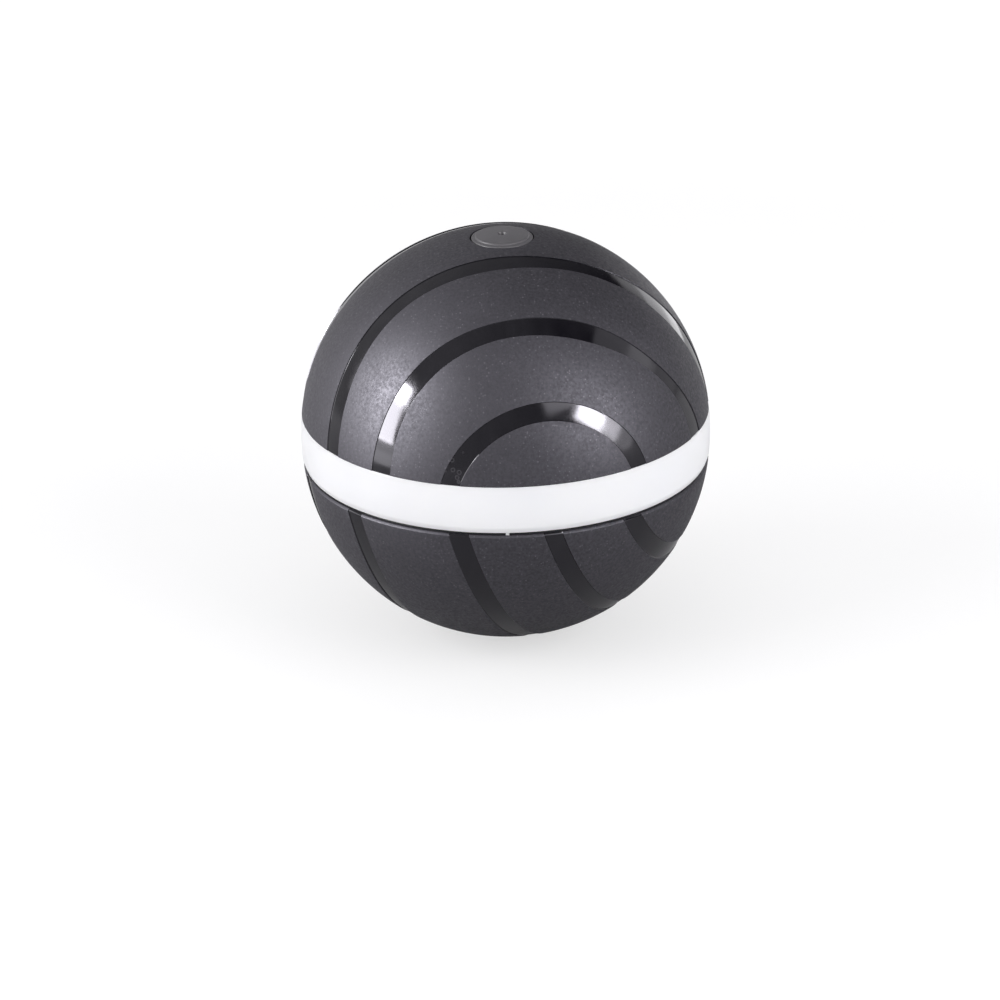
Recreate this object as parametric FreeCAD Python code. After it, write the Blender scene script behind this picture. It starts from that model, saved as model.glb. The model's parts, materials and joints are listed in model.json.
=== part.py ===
import FreeCAD, Part
import math
import os

from FreeCAD import Vector

# Self-rolling pet ball, in millimetres. The origin is the ball's centre and +Z leaves through the
# power button. The two caps, the white band and the hubs turn together as the ball rolls. The core
# hangs inside on two journals on the Z axis, heavy side towards -Y, and its motor climbs round the
# fixed ring of teeth on the drive hub.

# Caps
cap_radius = 40.0
cap_shift = 0.64
cap_wall = 2.4
seam_gap = 0.6
rim_chamfer = 0.4
rebate_wall = 1.9
rebate_play = 0.3
web_thickness = 1.6
recess_play = 0.2

# White band
band_half_height = 4.7
band_chamfer_height = 1.0
band_chamfer_depth = 0.25
spigot_reach = 3.6
spigot_wall = 1.5
spigot_play = 0.1
bead_height = 0.5
bead_foot = 0.75
bead_depth = 0.25
bead_setback = 0.5
seal_width = 1.0
seal_depth = 0.8
seal_setback = 1.2
gasket_wall = 0.9
key_tab_width = 0.7
key_tab_count = 4
key_tab_depth = 0.5
key_tab_root = 0.1

# Glossy stripes: shallow ring-shaped channels, each round its own axis through the cap's centre, as
# (axis azimuth, axis elevation, outer edge, inner edge). An edge opens from the axis by the sum of
# its waves in degrees: a mean, then how far it swells once, twice and more often in a turn
stripe_depth = 0.15
skin_margin = 2.0
upper_rings = [
    (-78.2, -2.9, (31.3,), (26.2,)),
    (-76.0, -1.0, (54.17, -1.02, 0.61, 1.77, 0.39, 0.47, 0.24),
     (48.93, -0.46, 0.39, 1.54, -0.31, -0.07, -0.11)),
    (-79.0, 4.0, (72.79, 0.56, -0.82, 0.48, -1.22, -0.45), (67.53, 0.65, -0.99, 0.4, -1.4, -0.41)),
]
upper_ring_turns = (0, 180)
lower_rings = [
    (-15.4, 13.5, (45.2,), (39.8,)),
    (-15.4, 13.5, (67.2,), (62.4,)),
    (-15.4, 13.5, (92.5,), (87.0,)),
    (-15.4, 13.5, (125.4,), (120.2,)),
    (-15.4, 13.5, (153.0,), (147.8,)),
]
ring_edge_points = 48

# Power button
button_radius = 6.0
button_travel = 0.4
clip_play = 0.05
button_recess_depth = 2.54
return_ring_pressed = 0.45
button_stem_radius = 2.2
button_stem_play = 0.1
button_edge_fillet = 0.35
pad_radius = 5.1
pad_rise = 0.28
pad_bevel = 0.2
dimple_radius = 0.85
dimple_depth = 0.9
dimple_floor_radius = 0.6
button_neck_radius = 1.6
button_nib_radius = 2.0
clip_radius = 3.2
clip_thickness = 0.5
clip_mouth = 2.2
return_ring_outer = 5.0
return_ring_inner = 3.0

# Charging recess and its plug
port_recess_depth = 2.74
port_web_thickness = 1.0
port_hole_radius = 4.9
plug_stem_play = 0.08
plug_stem_wall = 1.2
plug_reach = 0.15
plug_floor_play = 0.05
finger_notch_radius = 1.6
finger_notch_floor = 0.8

# Journals, hubs and their bearings
journal_radius = 6.5
journal_play = 0.05
journal_clearance = 0.5
journal_bore = 4.3
socket_bore = 5.3
sleeve_wall = 1.95
sleeve_setback = 0.6
sleeve_start = 17.0
register_wall = 1.3
register_depth = 2.5
register_root = 0.6
post_root = 0.8
register_play = 0.05
washer_thickness = 0.5
end_float = 0.1
shoulder_radius = 8.4
flange_setback = 4.4
flange_thickness = 1.8
flange_disc_radius = 10.5
ear_radius = 3.4
ear_clearance = 0.8
hub_screw_azimuths = [30.0, 150.0, 270.0]
hub_boss_radius = 2.6
hub_screw_grip = 2.9
boss_rib_width = 1.4
boss_rib_height = 4.9

# Screws
screw_radius = 1.0
screw_head_radius = 1.9
screw_head_height = 1.3
small_screw_radius = 0.8
small_head_radius = 1.4
small_head_height = 1.0
screw_hole_play = 0.15
# Shares of a screw head's height that are straight and of its radius that are flat
head_side = 0.6
head_flat = 0.75

# Gear train: hub ring and last pinion, middle pair, motor pair. Each pair's module is twice the
# larger wheel's pitch radius over its teeth
pressure_angle = 20.0
tooth_play = 0.08
addendum = 0.95
dedendum = 1.25
hub_teeth = 48
last_pinion_teeth = 12
hub_pitch_radius = 14.4
second_wheel_teeth = 36
middle_pinion_teeth = 10
second_wheel_pitch_radius = 9.0
first_wheel_teeth = 40
motor_pinion_teeth = 10
first_wheel_pitch_radius = 8.0
motor_circle = 20.8
motor_azimuth = -90.0
last_gear_azimuth = -28.4
hub_face_width = 3.0
hub_rim = 1.4
hub_web = 1.4
wheel_face_width = 2.2
arbor_radius = 0.75
arbor_play = 0.04
arbor_seat = 0.8
gear_gap = 0.2
gear_boss_height = 0.4
gear_boss_radius = 1.6
second_sleeve_radius = 2.3
wheel_step = 1.4

# Gear case
case_floor = 3.0
floor_thickness = 1.4
case_play = 0.725
case_wall = 1.4
case_height = 7.8
case_screw_length = 6.0
cover_thickness = 1.6
case_post_radius = 3.2
case_post_setback = 4.4
case_post_azimuths = [-60.0, 60.0, 180.0]
shelf_gap = 0.8
shelf_thickness = 1.4
shelf_margin = 0.8
shelf_root = 0.1
cheek_thickness = 1.2
cover_rib_thickness = 1.2
cover_rib_azimuths = [60.0, 120.0, 180.0, 240.0]
cover_rib_reach = 14.0
bridge_thickness = 1.4
bridge_half_width = 2.8
bridge_leg_inner = 5.2
bridge_leg_outer = 7.5
lead_hole_play = 0.4

# Motor
motor_width = 12.0
motor_flat = 10.0
motor_clearance = 2.8
motor_cap_length = 2.4
motor_can_wall = 0.4
motor_front_wall = 0.5
motor_boss_radius = 2.0
motor_boss_height = 0.8
motor_play = 0.15
motor_shaft_radius = 0.5
armature_radius = 3.4
commutator_play = 0.1
magnet_thickness = 1.2
magnet_half_angle = 50.0
magnet_end_gap = 0.8
armature_poles = 3
armature_slot = 1.2
commutator_length = 1.6
commutator_radius = 1.4
terminal_spread = 3.2
terminal_offset = 3.8
terminal_height = 2.0
terminal_width = 1.4
terminal_thickness = 0.4
strap_half_width = 2.6
strap_thickness = 0.6
strap_foot_margin = 1.6
strap_head_play = 0.15

# Board and its parts
board_margin = 1.4
board_top = -0.4
board_thickness = 1.2
led_count = 8
led_setback = 1.6
led_size = (1.6, 3.2, 0.9)
led_first_azimuth = 22.5
core_screw_setback = 2.6
core_screw_azimuths = [45.0, 135.0, 270.0]
core_boss_radius = 2.5
# Parts on the board's top, as (x, y, width, depth, height)
top_chips = [
    (10.0, 11.0, 5.0, 5.0, 0.9),
    (-9.0, 14.0, 3.0, 3.0, 0.8),
    (-15.0, 5.0, 4.0, 4.0, 2.0),
    (4.0, -14.0, 2.5, 2.5, 0.9),
    (17.0, -4.0, 3.2, 1.6, 1.1),
    (-18.0, -9.0, 3.2, 1.6, 1.1),
]

# Cradle, battery and counterweight
cradle_top = -11.0
cradle_thickness = 1.6
cradle_disc_radius = 14.0
cradle_arm_half_width = 4.0
cradle_rim_margin = 0.4
cradle_rib_azimuths = [-90.0, 0.0, 180.0, 90.0]
cradle_rib_reach = 13.0
fence_thickness = 1.2
fence_height = 3.0
fence_cut = 4.2
fence_front_start = 4.7
fence_front_end = 11.2
battery_size = (30.0, 18.0, 6.5)
battery_back = -0.2
battery_corner = 1.5
battery_play = 0.3
pad_thickness = 0.4
weight_play = 1.0
weight_clearance = 4.1
weight_height = 8.0
weight_half_angle = 60.0
plate_half_angle = 64.0
weight_screw_azimuths = [-135.0, -45.0]
weight_screw_grip = 5.0

# Push switch under the button
switch_sink = 6.6
switch_board_thickness = 1.0
switch_side = 6.0
switch_height = 3.5
plunger_radius = 1.7
plunger_height = 1.7
plunger_sink = 0.3
plunger_play = 0.1
nib_gap = 0.1

# Charging socket
socket_width = 8.94
socket_depth = 3.26
socket_skin = 0.3
socket_length = 6.5
socket_stand_out = 0.4
socket_back = 0.8
tongue_width = 6.7
tongue_thickness = 0.7
tongue_setback = 0.4
port_board_thickness = 1.0
small_fit = 0.1

# Leads
lead_radius = 0.5
lead_bend = 1.6
switch_lead_x = 1.5
switch_lead_y = 2.5
port_lead_x = 1.2
port_lead_y = 2.6
motor_lead_clearance = 2.2
battery_lead_reach = 3.5
battery_lead_z = -6.8
battery_lead_spread = 3.0

# Heights and radii that follow from the sizes above
pole_height = cap_radius + cap_shift
inner_radius = cap_radius - cap_wall
upper_rim = band_half_height
lower_rim = band_half_height + seam_gap
spigot_end = band_half_height + spigot_reach
band_edge_radius = math.sqrt(cap_radius ** 2 - (band_half_height - cap_shift) ** 2)
rebate_radius = band_edge_radius - rebate_wall + spigot_play
spigot_radius = rebate_radius - spigot_play
spigot_bore = spigot_radius - spigot_wall
button_floor = pole_height - button_recess_depth
button_underside = button_floor + button_travel + return_ring_pressed
button_web_inside = button_floor - web_thickness
port_floor = pole_height - port_recess_depth
port_web_inside = port_floor - port_web_thickness
pole_recess_radius = button_radius + recess_play
stem_hole_radius = button_stem_radius + button_stem_play
journal_end = button_web_inside - journal_clearance
sleeve_end = journal_end - sleeve_setback
flange_top = sleeve_end - flange_setback
flange_room = math.sqrt(inner_radius ** 2 - (flange_top - cap_shift) ** 2)
hub_screw_circle = flange_room - ear_clearance - ear_radius
sleeve_bore = journal_radius + journal_play
sleeve_radius = sleeve_bore + sleeve_wall
shoulder_end = sleeve_start - end_float - washer_thickness
hub_module = 2 * hub_pitch_radius / hub_teeth
middle_module = 2 * second_wheel_pitch_radius / second_wheel_teeth
motor_module = 2 * first_wheel_pitch_radius / first_wheel_teeth
last_gear_circle = hub_module * (hub_teeth + last_pinion_teeth) / 2
second_wheel_tip = second_wheel_pitch_radius + addendum * middle_module
case_radius = last_gear_circle + second_wheel_tip + case_play + case_wall
case_post_circle = case_radius - case_post_setback
floor_top = case_floor + floor_thickness
cover_underside = floor_top + case_height
cover_top = cover_underside + cover_thickness
first_wheel_bottom = floor_top + gear_gap + gear_boss_height
first_wheel_top = first_wheel_bottom + wheel_face_width
shelf_bottom = first_wheel_top + shelf_gap
shelf_top = shelf_bottom + shelf_thickness
second_wheel_bottom = first_wheel_top + wheel_step
second_wheel_top = second_wheel_bottom + wheel_face_width
bridge_underside = sleeve_start + hub_face_width + gear_gap + gear_boss_height
motor_corner = math.sqrt(motor_width ** 2 - motor_flat ** 2) / 2
motor_reach = math.hypot(motor_circle + motor_flat / 2, motor_corner)
motor_top = cap_shift + math.sqrt((inner_radius - motor_clearance) ** 2 - motor_reach ** 2)
motor_can_length = motor_top - motor_cap_length - shelf_top
armature_room = motor_can_length - motor_front_wall - 3 * magnet_end_gap
armature_length = armature_room - commutator_length - commutator_play
shelf_half_width = motor_width / 2 + shelf_margin
motor_lead_x = motor_width / 2 + motor_lead_clearance
strap_outer = motor_width / 2 + motor_play + strap_thickness
strap_screw_x = strap_outer + small_head_radius + strap_head_play
strap_foot_reach = strap_screw_x + strap_foot_margin
board_radius = case_radius + board_margin
led_circle = board_radius - led_setback
core_screw_circle = case_radius - core_screw_setback
weight_outer = inner_radius - weight_clearance
weight_inner = math.hypot(battery_size[0] / 2, battery_size[1] - battery_back) + weight_play
weight_screw_circle = (weight_inner + weight_outer) / 2
switch_seat = journal_end - switch_sink
board_bottom = board_top - board_thickness
cradle_bottom = cradle_top - cradle_thickness
plunger_top = switch_seat + switch_board_thickness + switch_height + plunger_height
socket_mouth = -(journal_end + socket_stand_out)
socket_root = socket_mouth + socket_length
port_seat = socket_root + port_board_thickness

z_axis = Vector(0, 0, 1)


# Shapes that repeat
def polar(radius, azimuth, z=0.0):
    angle = math.radians(azimuth)
    return Vector(radius * math.cos(angle), radius * math.sin(angle), z)


def cylinder(radius, bottom, top, x=0.0, y=0.0):
    return Part.makeCylinder(radius, top - bottom, Vector(x, y, bottom))


def tube(outer, inner, bottom, top):
    return cylinder(outer, bottom, top).cut(cylinder(inner, bottom, top))


def block(x0, x1, y0, y1, z0, z1):
    return Part.makeBox(x1 - x0, y1 - y0, z1 - z0, Vector(x0, y0, z0))


def fused(shapes):
    whole = shapes[0]
    for shape in shapes[1:]:
        whole = whole.fuse(shape)
    return whole.removeSplitter()


def turned(shape, azimuth, x=0.0, y=0.0):
    copy = shape.copy()
    copy.rotate(Vector(0, 0, 0), z_axis, azimuth)
    copy.translate(Vector(x, y, 0))
    return copy


# Turns a piece drawn at the button's pole over to the charging pole
def flipped(shape):
    copy = shape.copy()
    copy.rotate(Vector(0, 0, 0), Vector(1, 0, 0), 180)
    return copy


# A closed outline in the r-z plane: each step is an end point, or a middle and an end of an arc
def outline(start, *steps):
    edges = []
    here = Vector(start[0], 0, start[1])
    for step in steps:
        if isinstance(step[0], tuple):
            middle = Vector(step[0][0], 0, step[0][1])
            end = Vector(step[1][0], 0, step[1][1])
            edges.append(Part.Arc(here, middle, end).toShape())
        else:
            end = Vector(step[0], 0, step[1])
            edges.append(Part.LineSegment(here, end).toShape())
        here = end
    first = Vector(start[0], 0, start[1])
    if (here - first).Length > 1e-6:
        edges.append(Part.LineSegment(here, first).toShape())
    return Part.Face(Part.Wire(edges))


def revolved(start, *steps, angle=360.0):
    return outline(start, *steps).revolve(Vector(0, 0, 0), z_axis, angle)


def sector(inner, outer, bottom, top, middle_azimuth, half_angle):
    ring = revolved((inner, bottom), (outer, bottom), (outer, top), (inner, top), angle=2 * half_angle)
    return turned(ring, middle_azimuth - half_angle)


def cap_point(radius, z):
    return (math.sqrt(radius ** 2 - (z - cap_shift) ** 2), z)


def cap_point_at(radius, r):
    return (r, cap_shift + math.sqrt(radius ** 2 - r ** 2))


# The middle and the end of the arc that follows a cap's sphere from one point to the next
def cap_arc(radius, start, end):
    first = math.atan2(start[1] - cap_shift, start[0])
    last = math.atan2(end[1] - cap_shift, end[0])
    middle = (first + last) / 2
    return ((radius * math.cos(middle), cap_shift + radius * math.sin(middle)), end)


def screw(radius, head_radius, head_height, length):
    shank = cylinder(radius, 0, length)
    head = revolved(
        (0, 0), (head_radius, 0), (head_radius, -head_side * head_height),
        (head_flat * head_radius, -head_height), (0, -head_height),
    )
    return fused([shank, head])


# Involute gears, with each flank drawn through the root, the pitch circle and the tip
def involute(angle):
    return math.tan(angle) - angle


def gear_radii(teeth, module):
    pitch = module * teeth / 2
    return pitch, pitch - dedendum * module, pitch + addendum * module


def half_tooth_angle(teeth, module, radius):
    pitch = module * teeth / 2
    base = pitch * math.cos(math.radians(pressure_angle))
    at_pitch = math.pi / (2 * teeth) - tooth_play / (4 * pitch)
    here = math.acos(min(1.0, base / radius))
    return at_pitch + involute(math.radians(pressure_angle)) - involute(here)


def gear_blank(teeth, module, bottom, width):
    pitch, root, tip = gear_radii(teeth, module)
    flank = []
    for radius in (root, pitch, tip):
        flank.append((radius, half_tooth_angle(teeth, module, radius)))
    points = []
    for tooth in range(teeth):
        centre = 2 * math.pi * tooth / teeth
        for radius, half in flank:
            points.append((radius, centre - half))
        for radius, half in reversed(flank):
            points.append((radius, centre + half))
    corners = [Vector(r * math.cos(a), r * math.sin(a), bottom) for r, a in points]
    face = Part.Face(Part.makePolygon(corners + corners[:1]))
    return face.extrude(Vector(0, 0, width))


# The point at one distance from one centre and another from the other, on the side nearer the origin
def meeting_point(first, first_distance, second, second_distance):
    across = second - first
    span = across.Length
    along = (first_distance ** 2 - second_distance ** 2 + span ** 2) / (2 * span)
    height = math.sqrt(first_distance ** 2 - along ** 2)
    foot = first + across * (along / span)
    normal = Vector(-across.y, across.x, 0) * (height / span)
    return min((foot + normal, foot - normal), key=lambda point: point.Length)


def azimuth_from_to(start, end):
    return math.degrees(math.atan2(end.y - start.y, end.x - start.x))


# Azimuth that turns a gap between teeth towards a neighbour
def gap_towards(azimuth, teeth):
    return azimuth + 180.0 / teeth


motor_centre = polar(motor_circle, motor_azimuth)
last_centre = polar(last_gear_circle, last_gear_azimuth)
middle_centre = meeting_point(
    motor_centre, motor_module * (first_wheel_teeth + motor_pinion_teeth) / 2,
    last_centre, middle_module * (second_wheel_teeth + middle_pinion_teeth) / 2,
)
motor_lead_y = motor_centre.y - terminal_offset


# A round lead through corner points, straight between them and bent at each
def lead(points, bend=lead_bend):
    edges = []
    here = points[0]
    for corner, after in zip(points[1:-1], points[2:]):
        inwards = (here - corner).normalize()
        outwards = (after - corner).normalize()
        half_turn = (math.pi - inwards.getAngle(outwards)) / 2
        reach = bend * math.tan(half_turn)
        bend_start = corner + inwards * reach
        bend_end = corner + outwards * reach
        bisector = (inwards + outwards).normalize()
        bend_middle = corner + bisector * (bend / math.cos(half_turn) - bend)
        edges.append(Part.LineSegment(here, bend_start).toShape())
        edges.append(Part.Arc(bend_start, bend_middle, bend_end).toShape())
        here = bend_end
    edges.append(Part.LineSegment(here, points[-1]).toShape())
    first_run = (points[1] - points[0]).normalize()
    section = Part.Wire(Part.makeCircle(lead_radius, points[0], first_run))
    return Part.Wire(edges).makePipeShell([section], True, False)


# Caps
def swung(shape, azimuth, elevation, side):
    shape.rotate(Vector(0, 0, 0), Vector(0, 1, 0), 90 - elevation)
    shape.rotate(Vector(0, 0, 0), z_axis, azimuth)
    shape.translate(Vector(0, 0, side * cap_shift))
    return shape


# What a round stripe takes out of the skin: a slab across its axis near the great circle, or a tube
def round_cutter(outer_angle, inner_angle):
    outer = math.radians(outer_angle)
    inner = math.radians(inner_angle)
    far = cap_radius + skin_margin
    if 45 < inner_angle < 135:
        return cylinder(far, cap_radius * math.cos(outer), cap_radius * math.cos(inner))
    if inner_angle <= 45:
        return tube(cap_radius * math.sin(outer), cap_radius * math.sin(inner), 0, far)
    return tube(cap_radius * math.sin(inner), cap_radius * math.sin(outer), -far, 0)


# A prism along the axis through an edge that swells and draws in
def waved_prism(waves):
    points = []
    for step in range(ring_edge_points):
        turn = 2 * math.pi * step / ring_edge_points
        opening = sum(wave * math.cos(order * turn) for order, wave in enumerate(waves))
        reach = cap_radius * math.sin(math.radians(opening))
        points.append(Vector(-reach * math.sin(turn), reach * math.cos(turn), 0))
    edge = Part.BSplineCurve()
    edge.interpolate(Points=points, PeriodicFlag=True)
    return Part.Face(Part.Wire(edge.toShape())).extrude(z_axis * (cap_radius + skin_margin))


def ring_cutter(azimuth, elevation, outer_edge, inner_edge, side):
    if len(outer_edge) == 1:
        cutter = round_cutter(outer_edge[0], inner_edge[0])
    else:
        cutter = waved_prism(outer_edge).cut(waved_prism(inner_edge))
    return swung(cutter, azimuth, elevation, side)


def upper_cutters():
    cutters = []
    for turn in upper_ring_turns:
        for azimuth, *ring in upper_rings:
            cutters.append(ring_cutter(azimuth + turn, *ring, 1))
    return cutters


def lower_cutters():
    return [ring_cutter(*ring, -1) for ring in lower_rings]


# The cap's skin, as deep as the stripes, is cut by itself and then joined to what lies under it
def striped(shell, cutters, side):
    under_skin = Part.makeSphere(cap_radius - stripe_depth, Vector(0, 0, side * cap_shift))
    skin = shell.cut(under_skin)
    for cutter in cutters:
        skin = skin.cut(cutter)
    return fused([shell.common(under_skin), skin])


# A cap drawn at the button's pole: rim with its rebate, wall, and the recess at the pole
def cap(rim, recess_floor, hole_radius, web_inside):
    rim_outer = cap_point(cap_radius, rim)
    rebate_end = spigot_end + rebate_play
    inner_foot = cap_point(inner_radius, rebate_end)
    web_edge = (math.sqrt(inner_radius ** 2 - (web_inside - cap_shift) ** 2), web_inside)
    mouth = cap_point_at(cap_radius, pole_recess_radius)
    body = revolved(
        rim_outer, cap_arc(cap_radius, rim_outer, mouth),
        (pole_recess_radius, recess_floor), (hole_radius, recess_floor), (hole_radius, web_inside),
        web_edge, cap_arc(inner_radius, web_edge, inner_foot),
        (rebate_radius, rebate_end), (rebate_radius, rim),
    )
    groove_top = spigot_end - bead_setback + bead_height
    groove = tube(
        rebate_radius + bead_depth + spigot_play, rebate_radius - spigot_play,
        groove_top - 2 * bead_height - spigot_play, groove_top + spigot_play,
    )
    return body.cut(groove)


# Posts inside a cap that the hub is screwed to, tied by ribs to the ring that centres the sleeve
def hub_seat(web_inside):
    bore = sleeve_radius + register_play
    register = tube(bore + register_wall, bore, sleeve_end - register_depth, web_inside + register_root)
    inside = Part.makeSphere(inner_radius + post_root, Vector(0, 0, cap_shift))
    pieces = [register]
    for azimuth in hub_screw_azimuths:
        place = polar(hub_screw_circle, azimuth)
        post = cylinder(hub_boss_radius, flange_top, pole_height, place.x, place.y)
        rib = block(
            bore + register_wall / 2, hub_screw_circle, -boss_rib_width / 2, boss_rib_width / 2,
            pole_height - cap_wall - boss_rib_height, pole_height,
        )
        pieces.append(post.common(inside))
        pieces.append(turned(rib, azimuth).common(inside))
    return pieces


def hub_screw_holes():
    holes = []
    for azimuth in hub_screw_azimuths:
        place = polar(hub_screw_circle, azimuth)
        holes.append(cylinder(screw_radius, flange_top, flange_top + hub_screw_grip, place.x, place.y))
    return holes


# A cap without stripes, with its hub posts and screw holes, still at the button's pole
def cap_with_hub_seat(rim, recess_floor, hole_radius, web_inside):
    body = fused([cap(rim, recess_floor, hole_radius, web_inside)] + hub_seat(web_inside))
    return body.cut(Part.makeCompound(hub_screw_holes()))


def upper_shell():
    body = cap_with_hub_seat(upper_rim, button_floor, stem_hole_radius, button_web_inside)
    return striped(body, upper_cutters(), 1)


def lower_shell():
    body = cap_with_hub_seat(lower_rim, port_floor, port_hole_radius, port_web_inside)
    body = striped(flipped(body), lower_cutters(), -1)
    notch_root = port_floor + finger_notch_floor
    notch = cylinder(finger_notch_radius, notch_root, pole_height, pole_recess_radius)
    rim = cap_point(cap_radius, lower_rim)
    beyond = rim[0] + skin_margin
    chamfer = revolved(
        (rim[0] - rim_chamfer, lower_rim), (beyond, lower_rim),
        (beyond, lower_rim + rim_chamfer + skin_margin),
    )
    return body.cut(flipped(notch)).cut(flipped(chamfer))


# White band: crowned outside, chamfered at its lower edge, with a grooved spigot into each cap
def light_ring():
    seal_low = band_half_height + seal_setback
    bead_low = spigot_end - bead_setback - bead_height
    side = [
        (spigot_radius, band_half_height),
        (spigot_radius, seal_low),
        (spigot_radius - seal_depth, seal_low),
        (spigot_radius - seal_depth, seal_low + seal_width),
        (spigot_radius, seal_low + seal_width),
        (spigot_radius, bead_low),
        (spigot_radius + bead_depth, bead_low + bead_height / 2),
        (spigot_radius + bead_depth, bead_low + bead_height),
        (spigot_radius, bead_low + bead_foot),
        (spigot_radius, spigot_end),
        (spigot_bore, spigot_end),
    ]
    below = [(radius, -height) for radius, height in reversed(side)]
    edge = (band_edge_radius, band_half_height)
    chamfer_z = band_chamfer_height - band_half_height
    chamfer_top = (math.sqrt(cap_radius ** 2 - (-chamfer_z - cap_shift) ** 2), chamfer_z)
    foot = (band_edge_radius - band_chamfer_depth, -band_half_height)
    pieces = [revolved(below[0], *below[1:], foot, chamfer_top, ((cap_radius, 0), edge), *side)]
    tab_outer = foot[0] - band_chamfer_depth / 2
    for turn in range(key_tab_count):
        tab = block(
            tab_outer - key_tab_depth, tab_outer, -key_tab_width / 2, key_tab_width / 2,
            -lower_rim, key_tab_root - band_half_height,
        )
        pieces.append(turned(tab, 360.0 * turn / key_tab_count - 90.0))
    return fused(pieces)


def upper_ring_seal():
    low = band_half_height + seal_setback
    return tube(rebate_radius, spigot_radius - seal_depth, low, low + seal_width)


def seam_gasket():
    return tube(spigot_radius + gasket_wall, spigot_radius, -lower_rim, -band_half_height)


# Hubs
def hub_sleeve():
    flange_bottom = flange_top - flange_thickness
    pieces = [
        cylinder(sleeve_radius, sleeve_start, sleeve_end),
        cylinder(flange_disc_radius, flange_bottom, flange_top),
    ]
    for azimuth in hub_screw_azimuths:
        place = polar(hub_screw_circle, azimuth)
        arm = block(0, hub_screw_circle, -ear_radius, ear_radius, flange_bottom, flange_top)
        pieces.append(turned(arm, azimuth))
        pieces.append(cylinder(ear_radius, flange_bottom, flange_top, place.x, place.y))
    return pieces


def bored_hub(pieces):
    body = fused(pieces).cut(cylinder(sleeve_bore, sleeve_start, sleeve_end))
    for azimuth in hub_screw_azimuths:
        place = polar(hub_screw_circle, azimuth)
        hole = screw_radius + screw_hole_play
        body = body.cut(cylinder(hole, flange_top - flange_thickness, flange_top, place.x, place.y))
    return body


def drive_hub():
    teeth = turned(gear_blank(hub_teeth, hub_module, sleeve_start, hub_face_width), last_gear_azimuth)
    root = gear_radii(hub_teeth, hub_module)[1]
    web = tube(root - hub_rim, sleeve_radius, sleeve_start + hub_web, sleeve_start + hub_face_width)
    return bored_hub([teeth.cut(web)] + hub_sleeve())


def lower_hub():
    return flipped(bored_hub(hub_sleeve()))


def hub_screws():
    under = flange_top - flange_thickness
    length = flange_thickness + hub_screw_grip
    piece = screw(screw_radius, screw_head_radius, screw_head_height, length)
    return screws_at(piece, hub_screw_circle, hub_screw_azimuths, under)


def screws_at(piece, circle, azimuths, height):
    copies = []
    for azimuth in azimuths:
        copy = piece.copy()
        copy.translate(polar(circle, azimuth, height))
        copies.append(copy)
    return Part.makeCompound(copies)


# A screw that is driven from above, with its head's seat at zero
def screw_down(radius, head_radius, head_height, length):
    return flipped(screw(radius, head_radius, head_height, length))


def upper_thrust_washer():
    return tube(shoulder_radius, sleeve_bore, shoulder_end, shoulder_end + washer_thickness)


# Power button: soft disc on a stem, with a raised pad and a centre dimple
def power_button():
    clip_top = button_web_inside - clip_play
    clip_bottom = clip_top - clip_thickness
    nib_bottom = plunger_top + nib_gap
    rim = cap_point_at(cap_radius, button_radius - button_edge_fillet)
    crown = cap_radius + pad_rise
    pad_edge = cap_point_at(crown, pad_radius)
    pad_foot = cap_point_at(cap_radius, pad_radius + pad_bevel)
    dimple = cap_point_at(crown, dimple_radius)
    dimple_floor = dimple[1] - dimple_depth
    fillet_middle = (
        button_radius - button_edge_fillet * (1 - math.sqrt(0.5)),
        rim[1] - button_edge_fillet * (1 - math.sqrt(0.5)),
    )
    return revolved(
        (0, nib_bottom), (button_nib_radius, nib_bottom), (button_nib_radius, clip_bottom),
        (button_neck_radius, clip_bottom), (button_neck_radius, clip_top),
        (button_stem_radius, clip_top), (button_stem_radius, button_underside),
        (button_radius, button_underside), (button_radius, rim[1] - button_edge_fillet),
        (fillet_middle, rim), pad_foot, pad_edge, cap_arc(crown, pad_edge, dimple),
        (dimple_floor_radius, dimple_floor), (0, dimple_floor),
    )


def button_clip():
    top = button_web_inside - clip_play
    ring = tube(clip_radius, button_neck_radius, top - clip_thickness, top)
    mouth = block(0, clip_radius, -clip_mouth / 2, clip_mouth / 2, 0, top)
    return ring.cut(mouth)


def button_return_ring():
    return tube(return_ring_outer, return_ring_inner, button_floor, button_underside)


# Soft plug for the charging recess: a domed disc with a hollow stem
def port_plug():
    underside = port_floor + plug_floor_play
    stem = port_hole_radius - plug_stem_play
    stem_end = port_web_inside - plug_reach
    hollow_top = underside + plug_stem_wall / 2
    edge = cap_point_at(cap_radius, button_radius)
    top = (0, pole_height)
    return flipped(revolved(
        (0, hollow_top), (stem - plug_stem_wall, hollow_top), (stem - plug_stem_wall, stem_end),
        (stem, stem_end), (stem, underside), (button_radius, underside), edge,
        cap_arc(cap_radius, edge, top),
    ))


# Gear case: a drum with the shelf that the motor stands on
def lead_holes(bottom, top):
    radius = lead_radius + lead_hole_play
    return [cylinder(radius, bottom, top, side * motor_lead_x, motor_lead_y) for side in (-1, 1)]


def motor_section(play, bottom, top):
    body = cylinder(motor_width / 2 + play, bottom, top, motor_centre.x, motor_centre.y)
    half = motor_flat / 2 + play
    flats = block(
        -motor_width, motor_width, motor_centre.y - half, motor_centre.y + half, bottom, top,
    )
    return body.common(flats)


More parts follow.
